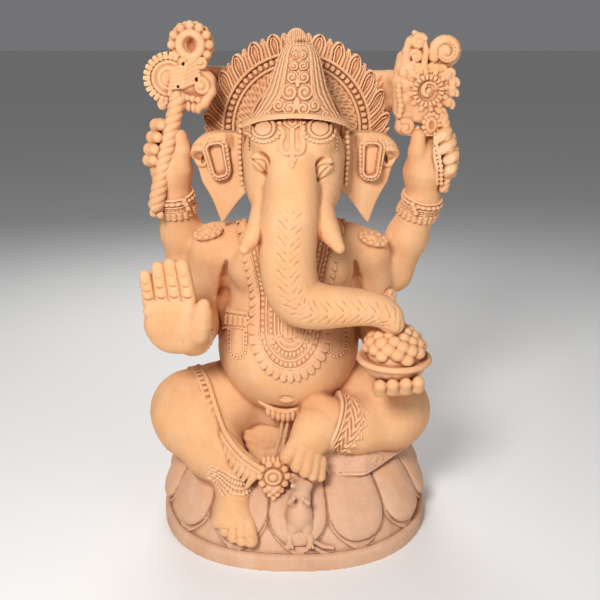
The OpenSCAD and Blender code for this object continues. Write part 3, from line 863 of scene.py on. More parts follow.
def crown_gap(x, y, z):
    """Tall cap with an inward curving outline, leaning back to the halo."""
    half = crown_half(z)
    rise = z - BRIM_MID[2]
    back = CR(0, -42, 0)[1] + 0.42 * rise
    depth = np.clip(50 - 0.22 * rise, 8, 60) * np.clip(half / 24, 0.3, 1)
    k = np.sqrt(((x - crown_middle(z)) / half) ** 2 + ((y - back) / depth) ** 2)
    return (k - 1) * np.minimum(half, depth) * 0.82


def under_brim(x, z, lift=0.0):
    """Positive below the arched edge of the crown."""
    arch = BRIM_MID[2] - 8 + 28 * np.sqrt(np.clip(1 - ((x - BRIM_MID[0]) / 70) ** 2, 0.02, 1)) + lift
    return (arch - z) * 0.9


def crown_height(x, z):
    """Paired scrolls up the middle, plumes along both sides, and bars on the knob."""
    up = z - BRIM_MID[2]
    half = crown_half(z)
    au = np.abs(x - crown_middle(z))
    q = au / half
    inner = np.interp(up, (0, 22, 40, 70, 95), (0.98, 0.72, 0.52, 0.56, 0.66))
    lane = (q - inner) / (1.03 - inner)
    plumes = 2.0 + 1.7 * np.abs(np.sin(np.pi * 3.2 * lane))
    plumes = plumes - 0.5 * np.abs(np.sin(np.pi * up / 9 + lane * 6))
    h = np.where(lane > 0, plumes, 1.0 + 0 * up)
    h = np.maximum(h, bump(lane * half * 0.5, 1.5, 3.6, 0))
    for cx, cz, r, side in ((7.5, 26, 7.4, 1), (20, 29, 7.0, -1), (8.5, 43, 8.8, 1), (6.5, 58, 6.6, -1),
                            (5.2, 70, 5.4, 1), (4.4, 81, 4.4, -1), (33, 19, 5.8, 1), (14, 17, 4.8, -1)):
        h = np.maximum(h, curl(au - cx, up - cz, r, 4.4, 1.5, side))
    h = np.maximum(h, np.where(oval(au, up - 31, 3.2, 6.5) < 0, 3.6, 0))
    h = np.maximum(h, np.where(oval(au, up - 52, 2.4, 4.5) < 0, 3.6, 0))
    bars = 2.6 + 0.9 * np.cos(2 * np.pi * au / 3.6)
    return np.where(up > 91, bars, h)


def make_crown():
    low, high = CR(-60, -102, 490), CR(66, 40, 594)
    crown = Clay(low, high, FINE, 1.0)
    x, y, z = crown.lines()
    h = crown_height(x, z) * np.clip((CR(0, 6, 0)[1] + 0.3 * (z - BRIM_MID[2]) - y) / 14, 0, 1)
    crown.field = (crown_gap(x, y, z) - h * 0.8).astype(np.float32)
    crown.keep(under_brim(x, z) + 0 * y)
    crown.keep(y - HALO[1] + 0 * x * z)
    cast(crown, "crown_carved", CARVED, "crown")
    brim = Clay(CR(-64, -112, 478), CR(70, 16, 526), 0.9, 1.0)
    x, y, z = brim.lines()
    lip = np.maximum(np.abs(under_brim(x, z, -1.0)) - 1.8, crown_gap(x, y, z) - 7.0)
    lip = np.maximum(np.maximum(lip, -(crown_gap(x, y, z) + 4)), y - CR(0, 8, 0)[1])
    brim.field = (lip - BRIM_SWELL).astype(np.float32)
    cast(brim, "crown_brim_lip", CARVED, "crown_brim")


make_crown()

PRONG = ((12, 502), (9.5, 496), (12.5, 487), (11, 480), (5, 478), (0, 483))   # x from the middle, z
TRIDENT = [[HD(-1, 0, 500), HD(-1, 0, 466)]]
TRIDENT += [smooth_path([HD(side * x - 1, 0, z) for x, z in PRONG], 4) for side in (-1, 1)]


def forehead_height(x, z):
    """Trident mark, a shield and beads over each eye, and a pendant under the crown's edge."""
    h = NONE + 0 * x * z
    for line in TRIDENT:
        d, _ = stroke([(p[0], p[2]) for p in line], x, z)
        h = np.maximum(h, bump(d, 3.0, 2.8))
    tip = HD(-1, 0, 472)
    h = np.maximum(h, np.where(np.abs(x - tip[0]) * 1.6 + np.abs(z - tip[2]) < 8, 2.1, NONE))
    for side in (-1, 1):
        c = HD(side * 31 - 2, 0, 503)
        u, v = x - c[0], z - c[2]
        shield = oval(u, v, 14.5, 11)
        h = np.maximum(h, np.where(shield < 0, 1.2 + 0 * u, NONE))
        h = np.maximum(h, bump(shield + 1.6, 1.7, 3.6))
        h = np.maximum(h, np.where(shield < -4.0, 3.0 + 0 * u, NONE))
        a = np.arctan2(v, u)
        beads = bead_row(a * 17, shield - 3.4, 2.4, 4.4, 3.0)
        h = np.maximum(h, np.where(v < 6, beads, NONE))
        # string of beads at the temple
        t = HD(side * 49 - 1, 0, 0)
        h = np.maximum(h, np.where(z > HD(0, 0, 478)[2],
                                   bead_row(z + 0 * x, x - t[0], 2.1, 4.2, 2.0), NONE))
    c = HD(-1, 0, 511)
    u, v = x - c[0], z - c[2]
    five = np.maximum(np.abs(u) - 10, np.abs(u) * 0.6 - v - 11)
    h = np.maximum(h, np.where(five < 0, 1.6 + 0 * u, NONE))
    h = np.maximum(h, bump(five + 1.4, 1.5, 3.0))
    loop = np.where(v < -1, np.sqrt(u ** 2 + (v + 1) ** 2), np.abs(u)) - 3.6
    return np.maximum(h, bump(loop, 1.3, 3.2))


def make_forehead():
    clay = relief(HD(-56, -116, 462), HD(54, -58, 519), FINE, forehead_height)
    x, y, z = clay.lines()
    clay.keep(-under_brim(x, z, 1.5) + 0 * y)
    cast(clay, "forehead_jewels", CARVED, "forehead_ornament")
    strings = Clay(HD(-68, -84, 420), HD(68, -30, 506), FINE)
    for side in (-1, 1):
        path = [HD(side * 60, -44, 500), HD(side * 62, -42, 470), HD(side * 60, -42, 434)]
        for p in even_path(path, 6.3):
            strings.add(egg(p, (3.0, 3.4, 2.9)), 0.5)
        strings.add(chain([np.append(p + (0, 3, 0), 2.4) for p in path]), 1.0)
    cast(strings, "temple_bead_strings", CARVED)


make_forehead()


# ---------------------------------------------------------------- face

def lens_path(centre, along, half, rise, count=9):
    """Arc in the upright plane over a chord that runs along a direction (x, z)."""
    dx, dz = unit((along[0], along[1]))
    side = 1 if dx > 0 else -1
    t = np.linspace(-1, 1, count)
    lift = rise * (1 - t ** 2)
    return [centre + (dx * half * k - side * dz * u, 0, dz * half * k + side * dx * u)
            for k, u in zip(t, lift)]


def eye(centre, outward, half):
    """Half closed eye: socket under the fold of the brow, heavy lid, and a slit round the eyeball."""
    rows = axes((outward[0], 0, outward[1]), FRONT)
    up = lens_path(centre, outward, 1, 1, 3)[1] - centre
    socket = drape([centre + up * 4.6], start=50)[0]
    hollow("head", egg(socket + (0, -1.6, 0), (half + 6.5, 12.0, 7.6), rows), 1.2)
    flesh("head", egg(socket + (0, 6.6, 0), (half + 4.2, 10.0, 8.2), rows), 1.0)
    for rise, r in ((9.6, 1.5), (1.8, 1.6), (-4.2, 0.7)):
        line = drape(lens_path(centre, outward, half, rise, 11))
        hollow("head", chain([np.append(p, r) for p in line]), 0.6)
    corner = drape(lens_path(centre, outward, half, 0, 3)[-1:])[0]
    hollow("head", ball(corner, 1.9), 0.5)


eye(HD(-37.5, -88, 460.5), (-0.68, 0.73), 10.5)
eye(HD(34.5, -88, 455.0), (0.69, 0.72), 11.5)
NAVEL = T(-9, -95, 182)
flesh("torso", egg(drape([NAVEL])[0] + (0, 2.0, 0), (9, 4.5, 4.2)), 1.5)
navel_lid = drape(lens_path(NAVEL + (0, 0, 3.2), (1, 0), 8.5, 3.5))
hollow("torso", chain([np.append(p, 1.0) for p in navel_lid]), 0.8)
hollow("torso", ball(drape([T(-5.5, -95, 211)])[0], 1.5), 0.4)

for side, inner in ((-1, 82), (1, 74)):
    armpit = ((0, 336), (3, 314), (6, 290), (7, 262))
    gap = drape([T(side * (inner + more), -60, z) for more, z in armpit], start=15)
    hollow("torso", chain([np.append(p + (0, 1, 0), r) for p, r in zip(gap, (2, 5, 7, 7))]), 4)

VINE_STEP = 8.6


def vine(clay):
    """Leaf grooves cut in pairs down the front of the trunk."""
    x, y, z = clay.lines()
    line = [(p[0], p[2]) for p in TRUNK_LINE[4:]]
    d, s = stroke(line, x, z)
    t = np.minimum(d, 40)
    swing = s + 0.95 * t + 0.6 * np.sin(t * 0.9)
    groove = np.exp(-(wave(swing, VINE_STEP) / 1.1) ** 2) * np.clip((15 - t) / 3, 0, 1)
    groove = groove * np.clip((t - 1.0) / 1.5, 0, 1) * np.clip((s - 6) / 12, 0, 1)
    groove = groove * (0.75 + 0.25 * np.sin(s * 0.37 + 2 * np.sign(x - TK(-4, 0, 0)[0])))
    front = np.clip((TK(0, -100, 0)[1] - y) / 8, 0, 1)
    clay.field = (clay.field + 1.0 * groove * front).astype(np.float32)
    return clay


def tusk(node, root, tip):
    """Short tusk that comes out beside the trunk, placed with the head."""
    clay = Clay(HD(*np.minimum(root, tip)) - 18, HD(*np.maximum(root, tip)) + 18, FINE)
    clay.add(bone(HD(*root, 15.5), HD(*tip, 6.4)), 6)
    cast(clay, node + "_carved", SMOOTH, node)


tusk("right_tusk", (-36, -92, 396), (-53, -123, 377))
tusk("left_tusk", (35, -92, 396), (50, -123, 378))

EAR_OUTLINE = [(48, 470), (60, 486), (84, 491), (105, 488), (119, 477), (124, 464), (119, 456),
               (114, 444), (111, 432), (104, 420), (97, 406), (92, 392), (88, 383), (81, 391),
               (71, 405), (60, 418), (50, 430)]


def make_ear(node, home, side, shift_x):
    E = Spot(node, home)
    outline = [E(side * x + shift_x, 0, z)[[0, 2]] for x, z in EAR_OUTLINE]
    outline = smooth_path(outline, 3, True)
    middle = E(shift_x, 0, 0)[0]

    def surface(x, z):
        d = outline_gap(outline, x, z)
        u = side * (x - middle)
        v = z - E.shift[2]
        fold = np.clip((v - 458) / 12, 0, 1) * np.clip((u - 72) / 9, 0, 1)
        h = fold * bump(d + 8.5, 10.5, 11.0, 0)
        crease = np.clip(0.6 - np.abs(np.sin(u * 0.62 + v * 0.12)), 0, 1) * 1.3 * fold
        hook = np.hypot((u - 112) / 1.1, v - 462)
        h = h + bump(hook - 9, 4.5, 3.5, 0) * (u > 104)
        pit = np.hypot((u - 107 + 0.35 * (v - 460)) / 3.0, (v - 460) / 7.5)
        h = h - crease - 8.0 * np.clip(1 - pit, 0, 1) ** 0.5
        swell = 2.5 * np.exp(-((u - 84) / 13) ** 2 - ((v - 414) / 20) ** 2)
        return E(0, -25, 0)[1] + 0.22 * (u - 60) - np.maximum(h, -6) - swell, d

    half = (44, 30, 58)
    ear = slab(E(*home) - half, E(*home) + half, MEDIUM, lambda x, z: surface(x, z)[1],
               lambda x, z: surface(x, z)[0], E(0, 2, 0)[1])
    cast(ear, node + "_carved", SMOOTH, node)


make_ear("right_ear", (-81, -20, 435.5), -1, 1.5)
make_ear("left_ear", (87, -20, 435.5), 1, 0.5)


def make_ear_ring(node, home, side, cx, tilt):
    E = Spot(node, home)
    c = E(cx, 0, 459.5)

    def shape(x, z):
        u, v = side * (x - c[0]), z - c[2]
        u, v = u + tilt * v, (v - tilt * u) * 1.04
        u = u * (1 - 0.0065 * v)
        q = np.hypot(np.maximum(np.abs(u) - 2.5, 0), np.maximum(np.abs(v) - 14, 0))
        d = q - 12.2 + np.minimum(np.maximum(np.abs(u) - 2.5, np.abs(v) - 14), 0)
        h = np.where(d < -7.2, -2.5, 3.0)
        h = np.maximum(h, bump(d + 5.6, 2.0, 6.4, -9))
        angle = np.arctan2(v + 14, u)
        run = np.where(v < -14, angle * 12, v + np.sign(u) * 40.0)
        leaves = 2.6 + 2.0 * np.abs(np.cos(np.pi * run / 5.2)) * np.clip((0.4 - d) / 2, 0.4, 1)
        bordered = (u < 5) | (v < -8)
        h = np.where(d > -3.8, np.where(bordered, leaves, 1.2), h)
        return h, d

    ring_clay = slab(c - (17, 44, 28), c + (17, -8, 28), FINE, lambda x, z: shape(x, z)[1],
                     lambda x, z: E(0, -27, 0)[1] - shape(x, z)[0], E(0, -14, 0)[1])
    cast(ring_clay, node + "_carved", CARVED, node)


make_ear_ring("right_ear_ring", (-88.1, -26, 465.4), -1, -88.5, -0.20)
make_ear_ring("left_ear_ring", (94.1, -26, 465.4), 1, 90, -0.06)


# ---------------------------------------------------------------- garland and belly band

G = Spot("garland", (-1.8, -50.9, 306))
GARLAND = G(-4, 0, 272)
LONG = 1.22     # how much longer than wide the garland hangs


def garland_height(x, z):
    """Rows of beads and a scalloped border that hang from the shoulders to the belly."""
    x, z = x - GARLAND[0], z - GARLAND[2]
    flare = 21 * (np.clip(z - 28, 0, 200) / 90) ** 1.5
    below = np.sqrt(x ** 2 + (z / LONG) ** 2)
    r = np.where(z < 0, below, np.abs(x) - flare)
    angle = np.arctan2(np.abs(x), np.maximum(-z / LONG, 0))
    run = np.where(z < 0, angle, np.pi / 2)

    def along(radius):
        return run * radius * 1.1 + np.maximum(z, 0)

    strand = np.clip(z / 6, 0, 1)
    s = along(44) + strand * (r - 44) * 0.9
    across = np.abs(wave(s, 9.0))
    reach = 52 - 4.2 * (across / 4.5) ** 2 - 1.5 * strand
    lobe = np.clip((r - 40) / 5, 0.25, 1)
    dome = 1.6 + 2.4 * (1 - lobe * (1 - np.sqrt(np.clip(1 - (across / 4.7) ** 2, 0, 1))))
    dome = dome - 0.5 * lobe * np.exp(-(across / 0.9) ** 2)
    h = np.where((r > 38) & (r < reach), dome * np.clip((reach - r) / 1.5, 0.3, 1), NONE)
    h = np.where((r > 29) & (r <= 38), 1.5, h)
    h = np.where((r > 13) & (r <= 29), 1.0, h)
    h = ridges(h, r, ((37.0, 1.5, 3.6), (28.6, 1.3, 2.8), (18.5, 1.6, 3.0), (13.6, 1.3, 2.4)))
    for at, bead, pitch, height in ((32.8, 2.75, 6.0, 3.6), (23, 2.5, 5.2, 3.4)):
        h = np.maximum(h, bead_row(along(at), r - at, bead, pitch, height))
    tassel = (np.abs(z - 1 + 0 * x) < 12 - 0.05 * x ** 2) & (r < 12)
    return np.where(tassel, 1.2 + 1.2 * np.abs(np.cos(np.pi * x / 5.5)), h)


cast(relief(G(-80, -112, 204), G(76, 10, 402), FINE, garland_height, "torso"),
     "garland_carved", CARVED, "garland")

BB = Spot("belly_band", (-7.1, 0.2, 260))


def band_place(x, z):
    """Place in the drawing, with the belly band's droop at the flanks taken out."""
    u, v = x - BB.shift[0], z - BB.shift[2]
    return u, v + 12 * (np.clip(np.abs(u + 5) - 45, 0, 60) / 42) ** 2


def strip_height(x, z):
    """Plain strip of the belly band between its rolled edges."""
    u, v = band_place(x, z)
    h = ridges(np.where(np.abs(v - 273) < 9, 1.4, NONE), v, ((281, 1.6, 3.2), (266, 1.6, 3.2)))
    fluted = 2.0 + 0.9 * np.cos(2 * np.pi * u / 6.5)
    return np.maximum(h, np.where(np.abs(v - 273.5) < 4.5, fluted, NONE))


def belly_band_height(x, z):
    """The strip beside the garland, with four beaded tabs hanging from it."""
    u, v = band_place(x, z)
    h = np.where(garland_height(x, z) > NONE, NONE, strip_height(x, z))
    for cx, low, half in ((-68, 245, 9.5), (-27, 245, 9.0), (12, 245, 9.0), (52, 246, 9.5)):
        d = np.where(v < low, np.hypot(u - cx, v - low), np.abs(u - cx)) - half
        hang = v < 266
        h = np.where(hang & (d < 0), 1.3, h)
        h = np.maximum(h, np.where(hang, bump(d + 1.0, 1.2, 2.4), NONE))
        run = np.where(v < low, np.arctan2(u - cx, low - v) * half * 1.2, np.sign(u - cx) * (v - low + 20))
        h = np.maximum(h, np.where(hang, bead_row(run, d - 2.0, 2.2, 4.4, 2.6), NONE))
    return h


cast(relief(BB(-96, -92, 229), BB(84, 12, 287), 1.0, belly_band_height, "torso"),
     "belly_band_carved", CARVED, "belly_band")
cast(relief(BB(-96, 10, 229), BB(84, 88, 287), MEDIUM, strip_height, "torso"),
     "belly_band_back", CARVED, "belly_band")


# ---------------------------------------------------------------- lotus seat

SEAT = Spot("lotus_seat", (0, 0, 57))
SEAT_LOW, SEAT_HIGH = SEAT(0, 0, 18)[2], SEAT(0, 0, 96)[2]
PETALS = 14
SQUARENESS = 2.4    # exponent of the base's outline: 2 would be an ellipse


def seat_shape(x, y, z):
    """Distance to the plain cushion of the lotus, and its height share and angle."""
    x, y = x - SEAT.shift[0], y - SEAT.shift[1]
    s = np.clip((z - SEAT_LOW) / (SEAT_HIGH - SEAT_LOW), -0.1, 1.05)
    a = 164 - 10 * s - 32 * s ** 2
    b = 160 - 34 * s - 32 * s ** 2
    k = ((np.abs(x) / a) ** SQUARENESS + (np.abs(y) / b) ** SQUARENESS) ** (1 / SQUARENESS)
    return (k - 1) * np.minimum(a, b) * 0.84, s, np.arctan2(y / b, x / a)


def petal_height(s, angle, lift):
    """Broad domed petals side by side, each on a flat border that ends in a point."""
    half = math.pi / PETALS
    u = np.abs(wave(angle + math.pi / 2 - lift, 2 * half)) / half
    inner = np.sqrt(np.clip(1 - (np.clip(0.56 - s, 0, 1) / 0.44) ** 2, 0, 1)) * 0.97
    outer = 1 - np.clip((0.46 - s) / 0.50, 0, 1) ** 1.9
    wide = half * 150
    dome = np.sqrt(np.clip(1 - (u / np.maximum(inner, 0.02)) ** 2, 0, 1))
    foot = np.clip((s - 0.12) / 0.16, 0, 1) ** 0.5
    top = np.clip((1.02 - s) / 0.2, 0, 1) ** 0.5
    swell = 2.8 + 7.6 * dome ** 0.8 * foot * top
    rim = bump((u - outer) * wide + 1.3, 1.4, 3.0, 1.6)
    return np.where(u < inner, swell, np.where(u < outer, rim, 0.0))


def make_seat():
    core = Clay(SEAT(-150, -150, 18), SEAT(150, 150, 96), 2.4)
    x, y, z = core.lines()
    gap, _, _ = seat_shape(x, y, z)
    core.field = np.maximum(np.maximum(gap + 3, z - SEAT_HIGH + 1), SEAT_LOW - 4 - z).astype(np.float32)
    cast(core, "lotus_seat_core", BASE, "lotus_seat")
    petals = Clay(SEAT(-168, -165, 17), SEAT(168, 165, 98), 1.6, 1.0)
    x, y, z = petals.lines()
    gap, s, angle = seat_shape(x, y, z)
    h = petal_height(s, angle, 0.03)
    shell = (gap - h) * 0.86
    lid = z - SEAT_HIGH + 0.5 + 0.0 * x
    shell = -blend_in(-shell, -lid, 5.0)
    petals.field = np.maximum(np.maximum(shell, -(gap + 7)), SEAT_LOW - 3 - z).astype(np.float32)
    cast(petals, "lotus_petals_carved", BASE, "lotus_petals")
    foot = Clay(SEAT(-172, -171, 0), SEAT(172, 171, 22), 1.8, 2.0)
    x, y, z = foot.lines()
    u, v = np.abs(x - SEAT.shift[0]) / 171, np.abs(y - SEAT.shift[1]) / 170
    side = ((u ** SQUARENESS + v ** SQUARENESS) ** (1 / SQUARENESS) - 1) * 160
    top = z - SEAT_LOW - 1.6 * np.clip((side + 9) / 3, 0, 1) + 0 * x
    body = -blend_in(-side - 0 * z, -top, 6.0)
    foot.field = np.maximum(body, base(0, 0, 0)[2] - z).astype(np.float32)
    cast(foot, "plinth_slab", BASE, "plinth")


make_seat()

SC = Spot("seat_cloth", (92.1, -69, 105.9))
CLOTH_EDGE = ((40, 90), (62, 88.5), (86, 89), (96, 91), (118, 95), (151, 99), (146, 108), (100, 117),
              (40, 122))    # x, z


def make_cloth():
    """Cushion cloth that shows between the left leg and the lotus."""
    edge = smooth_path([SC(x, 0, z)[[0, 2]] for x, z in CLOTH_EDGE], 4, True)

    def front(x, z):
        u, v = x - SC.shift[0], z - SC.shift[2]
        d = outline_gap(edge, x, z)
        rim = bump(d + 2.6, 1.6, 1.6, 0)
        dots = 0.8 * np.cos(2 * np.pi * u / 8) * np.cos(2 * np.pi * v / 8)
        bloom = bump(np.hypot(u - 103, v - 102) - 4.5, 1.6, 1.5, 0)
        bulge = 62 * np.clip((u - 84) / 67, 0, 1) ** 1.25
        return SC(0, -104, 0)[1] + bulge + 0.35 * (v - 92) - np.maximum(rim, np.maximum(bloom, dots))

    clay = slab(SC(34, -110, 86), SC(154, -20, 124), MEDIUM, lambda x, z: outline_gap(edge, x, z), front,
                SC(0, -30, 0)[1])
    cast(clay, "seat_cloth_carved", BASE, "seat_cloth")


make_cloth()

LC = Spot("loincloth", (-25.5, -53.8, 128.2))


def make_loincloth():
    clay = Clay(LC(-78, -94, 92), LC(26, -10, 164), MEDIUM)
    clay.add(egg(LC(-30, -36, 114), (50, 32, 24)), 6)
    for k in range(4):
        clay.add(LC.chain((-64 + 3 * k, -56 - 4 * k, 126 - 9 * k, 5), (-40, -60 - 4 * k, 116 - 8 * k, 5.5),
                        (-16, -56 - 4 * k, 120 - 9 * k, 5)), 3)
    for line in ((-13, 158), (-17, 132), (-23, 108)), ((-6, 158), (-11, 132), (-16, 106)):
        laid = drape([LC(px, -60, pz) for px, pz in line], start=60)
        fronts = [LC(0, -82 - 0.10 * (158 - pz), 0)[1] for _, pz in line]
        clay.add(chain([np.array([p[0], y, p[2], 2.4]) for p, y in zip(laid, fronts)]), 1.5)
    cast(clay, "loincloth_carved", CARVED, "loincloth")


make_loincloth()

MS = Spot("mouse", (6.3, -132.6, 65.5))


def make_mouse():
    clay = Clay(MS(-24, -176, 14), MS(48, -96, 112), FINE)
    clay.add(egg(MS(7, -138, 58), (15.5, 15, 20)), 5)
    clay.add(egg(MS(8, -131, 80), (12, 12, 14)), 6)
    clay.add(egg(MS(10, -125, 93), (12.5, 11, 9.5)), 5)
    clay.add(bone(MS(8, -128, 92, 7), MS(-1, -138, 99, 3.2)), 4)
    for dx in (-1, 21):
        clay.add(egg(MS(dx, -122, 100), (7, 3.2, 6.5)), 1.5)
        clay.carve(egg(MS(dx, -126, 100), (4.2, 2.4, 3.8)), 1.0)
    clay.add(MS.chain((0, -140, 74, 4), (-4, -148, 84, 3), (0, -150, 90, 2.6)), 2)
    clay.add(MS.chain((14, -140, 74, 4), (16, -148, 83, 3), (10, -150, 90, 2.6)), 2)
    for dx, out in ((0, -5), (13, 6)):
        clay.add(egg(MS(dx + 0.4 * out, -143, 46), (7.5, 9, 9)), 3)
        clay.add(bone(MS(dx + out, -150, 38, 4.6), MS(dx + out, -157, 33, 3.4)), 2)
        for toe in (-2.4, 0, 2.4):
            clay.add(bone(MS(dx + out + toe, -157, 33, 1.7), MS(dx + out + 1.4 * toe, -161, 31, 1.3)), 0.6)
    for line in (((14, 44), (22, 34), (34, 27), (45, 25)), ((12, 42), (20, 28), (32, 20), (42, 17))):
        clay.add(chain([MS(px, -150 - 0.10 * (44 - pz), pz, 2.4) for px, pz in line]), 1.5)
    cast(clay, "mouse_carved", BASE, "mouse")


make_mouse()


# ---------------------------------------------------------------- bowl of sweets

BW = Spot("bowl", (115, -112, 236))
BOWL = BW(115, -112, 236)
SWEETS, HEAP_RADIUS = 44, 31.5      # sweets on the heap, and the radius that their middles keep to
GOLDEN_TURN = math.radians(137.5)


def make_bowl():
    clay = Clay(BOWL - (48, 48, 18), BOWL + (48, 48, 16), MEDIUM)
    x, y, z = clay.lines()
    r = np.hypot(x - BOWL[0], y - BOWL[1])
    v = z - BOWL[2]
    wall = np.interp(v, (-16, -10, -4, 3, 7, 10, 14), (20, 26, 33, 37.5, 40.5, 41, 40))
    flutes = 0.9 * np.abs(np.sin(9 * np.arctan2(y - BOWL[1], x - BOWL[0]))) * np.clip((4 - v) / 6, 0, 1)
    side = (r - wall - flutes) * 0.85
    bead = np.hypot(r - 39.5, v - 9.5) - 3.6
    body = np.maximum(np.maximum(side, v - 11), -15 - v)
    clay.field = blend_in(body, bead, 1.5).astype(np.float32)
    clay.carve(egg(BOWL + (0, 0, 17), (36, 36, 12)), 1)
    cast(clay, "bowl_turned", CARVED, "bowl")
    heap = Clay(BOWL + (-44, -44, 0), BOWL + (44, 44, 66), MEDIUM)
    heap.add(egg(BOWL + (0, 0, 14), (31, 31, 24)), 2)
    for i in range(SWEETS + 2):
        polar = math.acos(1 - (i + 0.5) / SWEETS * 0.86) if i < SWEETS else 1.5
        turn = i * GOLDEN_TURN
        out = HEAP_RADIUS * math.sin(polar)
        c = BOWL + (out * math.cos(turn), out * math.sin(turn), 16 + 30 * math.cos(polar))
        size = 7.4 + 0.9 * math.sin(i * 2.3)
        heap.add(egg(c, (size, size, size * 0.92)), 0.8)
    cast(heap, "sweets_heap", CARVED, "sweets")


make_bowl()


# ---------------------------------------------------------------- scrolls and discs

def spiral(c, radius, turns, side, start, thick, rise=3.0):
    """Rolled end of a scroll as a tapering chain that winds in to c."""
    rows = axes((1, 0, 0), FRONT)
    stations = []
    count = int(14 * turns) + 1
    for i in range(count + 1):
        k = i / count
        a = start + side * 2 * math.pi * turns * k
        r = radius * (1 - k) ** 0.85
        p = c[:3] + rows[0] * r * math.cos(a) + np.array([0, 0, 1.0]) * r * math.sin(a)
        stations.append(np.append(p + rows[2] * rise * k, thick * (1 - 0.45 * k)))
    return chain(stations) + [ball(np.append(c[:3] + rows[2] * rise, thick * 0.9))]


def fan(c, radius, count, first, last, form):
    """form(place, direction) repeated round an arc in the upright plane; angles in degrees."""
    out = []
    for a in np.radians(np.linspace(first, last, count)):
        way = np.array([math.cos(a), 0, math.sin(a)])
        out.append(form(c[:3] + way * radius, way))
    return out


def disc(c, radius, half, rounding):
    """Round plate that faces the front."""
    reach = radius + half

    def gap(x, y, z):
        u, v, w = local(c, WHEEL, x, y, z)
        q = [np.sqrt(v ** 2 + w ** 2) - radius + rounding, np.abs(u) - half + rounding]
        outside = np.sqrt(np.maximum(q[0], 0) ** 2 + np.maximum(q[1], 0) ** 2)
        return outside + np.minimum(np.maximum(q[0], q[1]), 0) - rounding
    return Form(c[:3] - reach, c[:3] + reach, gap)


def twisted(points, radius, pitch, voxel):
    """Cord of three strands wound along the points."""
    path = even_path([p[:3] for p in points], 1.2)
    clay = Clay(path.min(0) - radius * 1.3, path.max(0) + radius * 1.3, voxel, 3.0)
    tangents = np.gradient(path, axis=0)
    for k in range(3):
        strand = []
        for i in range(0, len(path), 2):
            rows = axes(tangents[i], (0.2, -1, 0.1))
            a = 2 * math.pi * (i * 1.2 / pitch + k / 3)
            side = rows[1] * math.cos(a) + rows[2] * math.sin(a)
            strand.append(np.append(path[i] + side * radius * 0.46, radius * 0.58))
        clay.add(chain(strand), 0.6)
    clay.add(chain([np.append(p, radius * 0.62) for p in path[::8]]), 0.5)
    return clay


def web(clay, spot, body, groove, levels, bar):
    """Block with four curved grooves beside the halo, and the bars that join it to a carving."""
    clay.add(body, 3)
    for k in range(4):
        clay.carve(spot.chain(*((x, y, z + step * k, r) for (x, z), y, step, r
                                in zip(groove, (38, 37.5, 37), (14, 13, 11), (1.5, 2.0, 1.4)))), 1.0)
    for z in levels:
        clay.add(bone(spot(bar[0], 45, z, 8), spot(bar[1], 4, z, 9)), 7)


def brick(half, rounding):
    """Small block for a fan, with its length pointing outward."""
    def form(p, way):
        return block(p, half, rounding, np.array([way, (0, 1, 0), np.cross(way, (0, 1, 0))]))
    return form


def knob(size):
    """Small ball for a fan."""
    return lambda p, _: ball(p, size)


# ---------------------------------------------------------------- axe, right rear hand

AX = Spot("axe", (-127, 14.3, 562.7))
AS = Spot("axe_shaft", (-149.6, -18.8, 460.8))


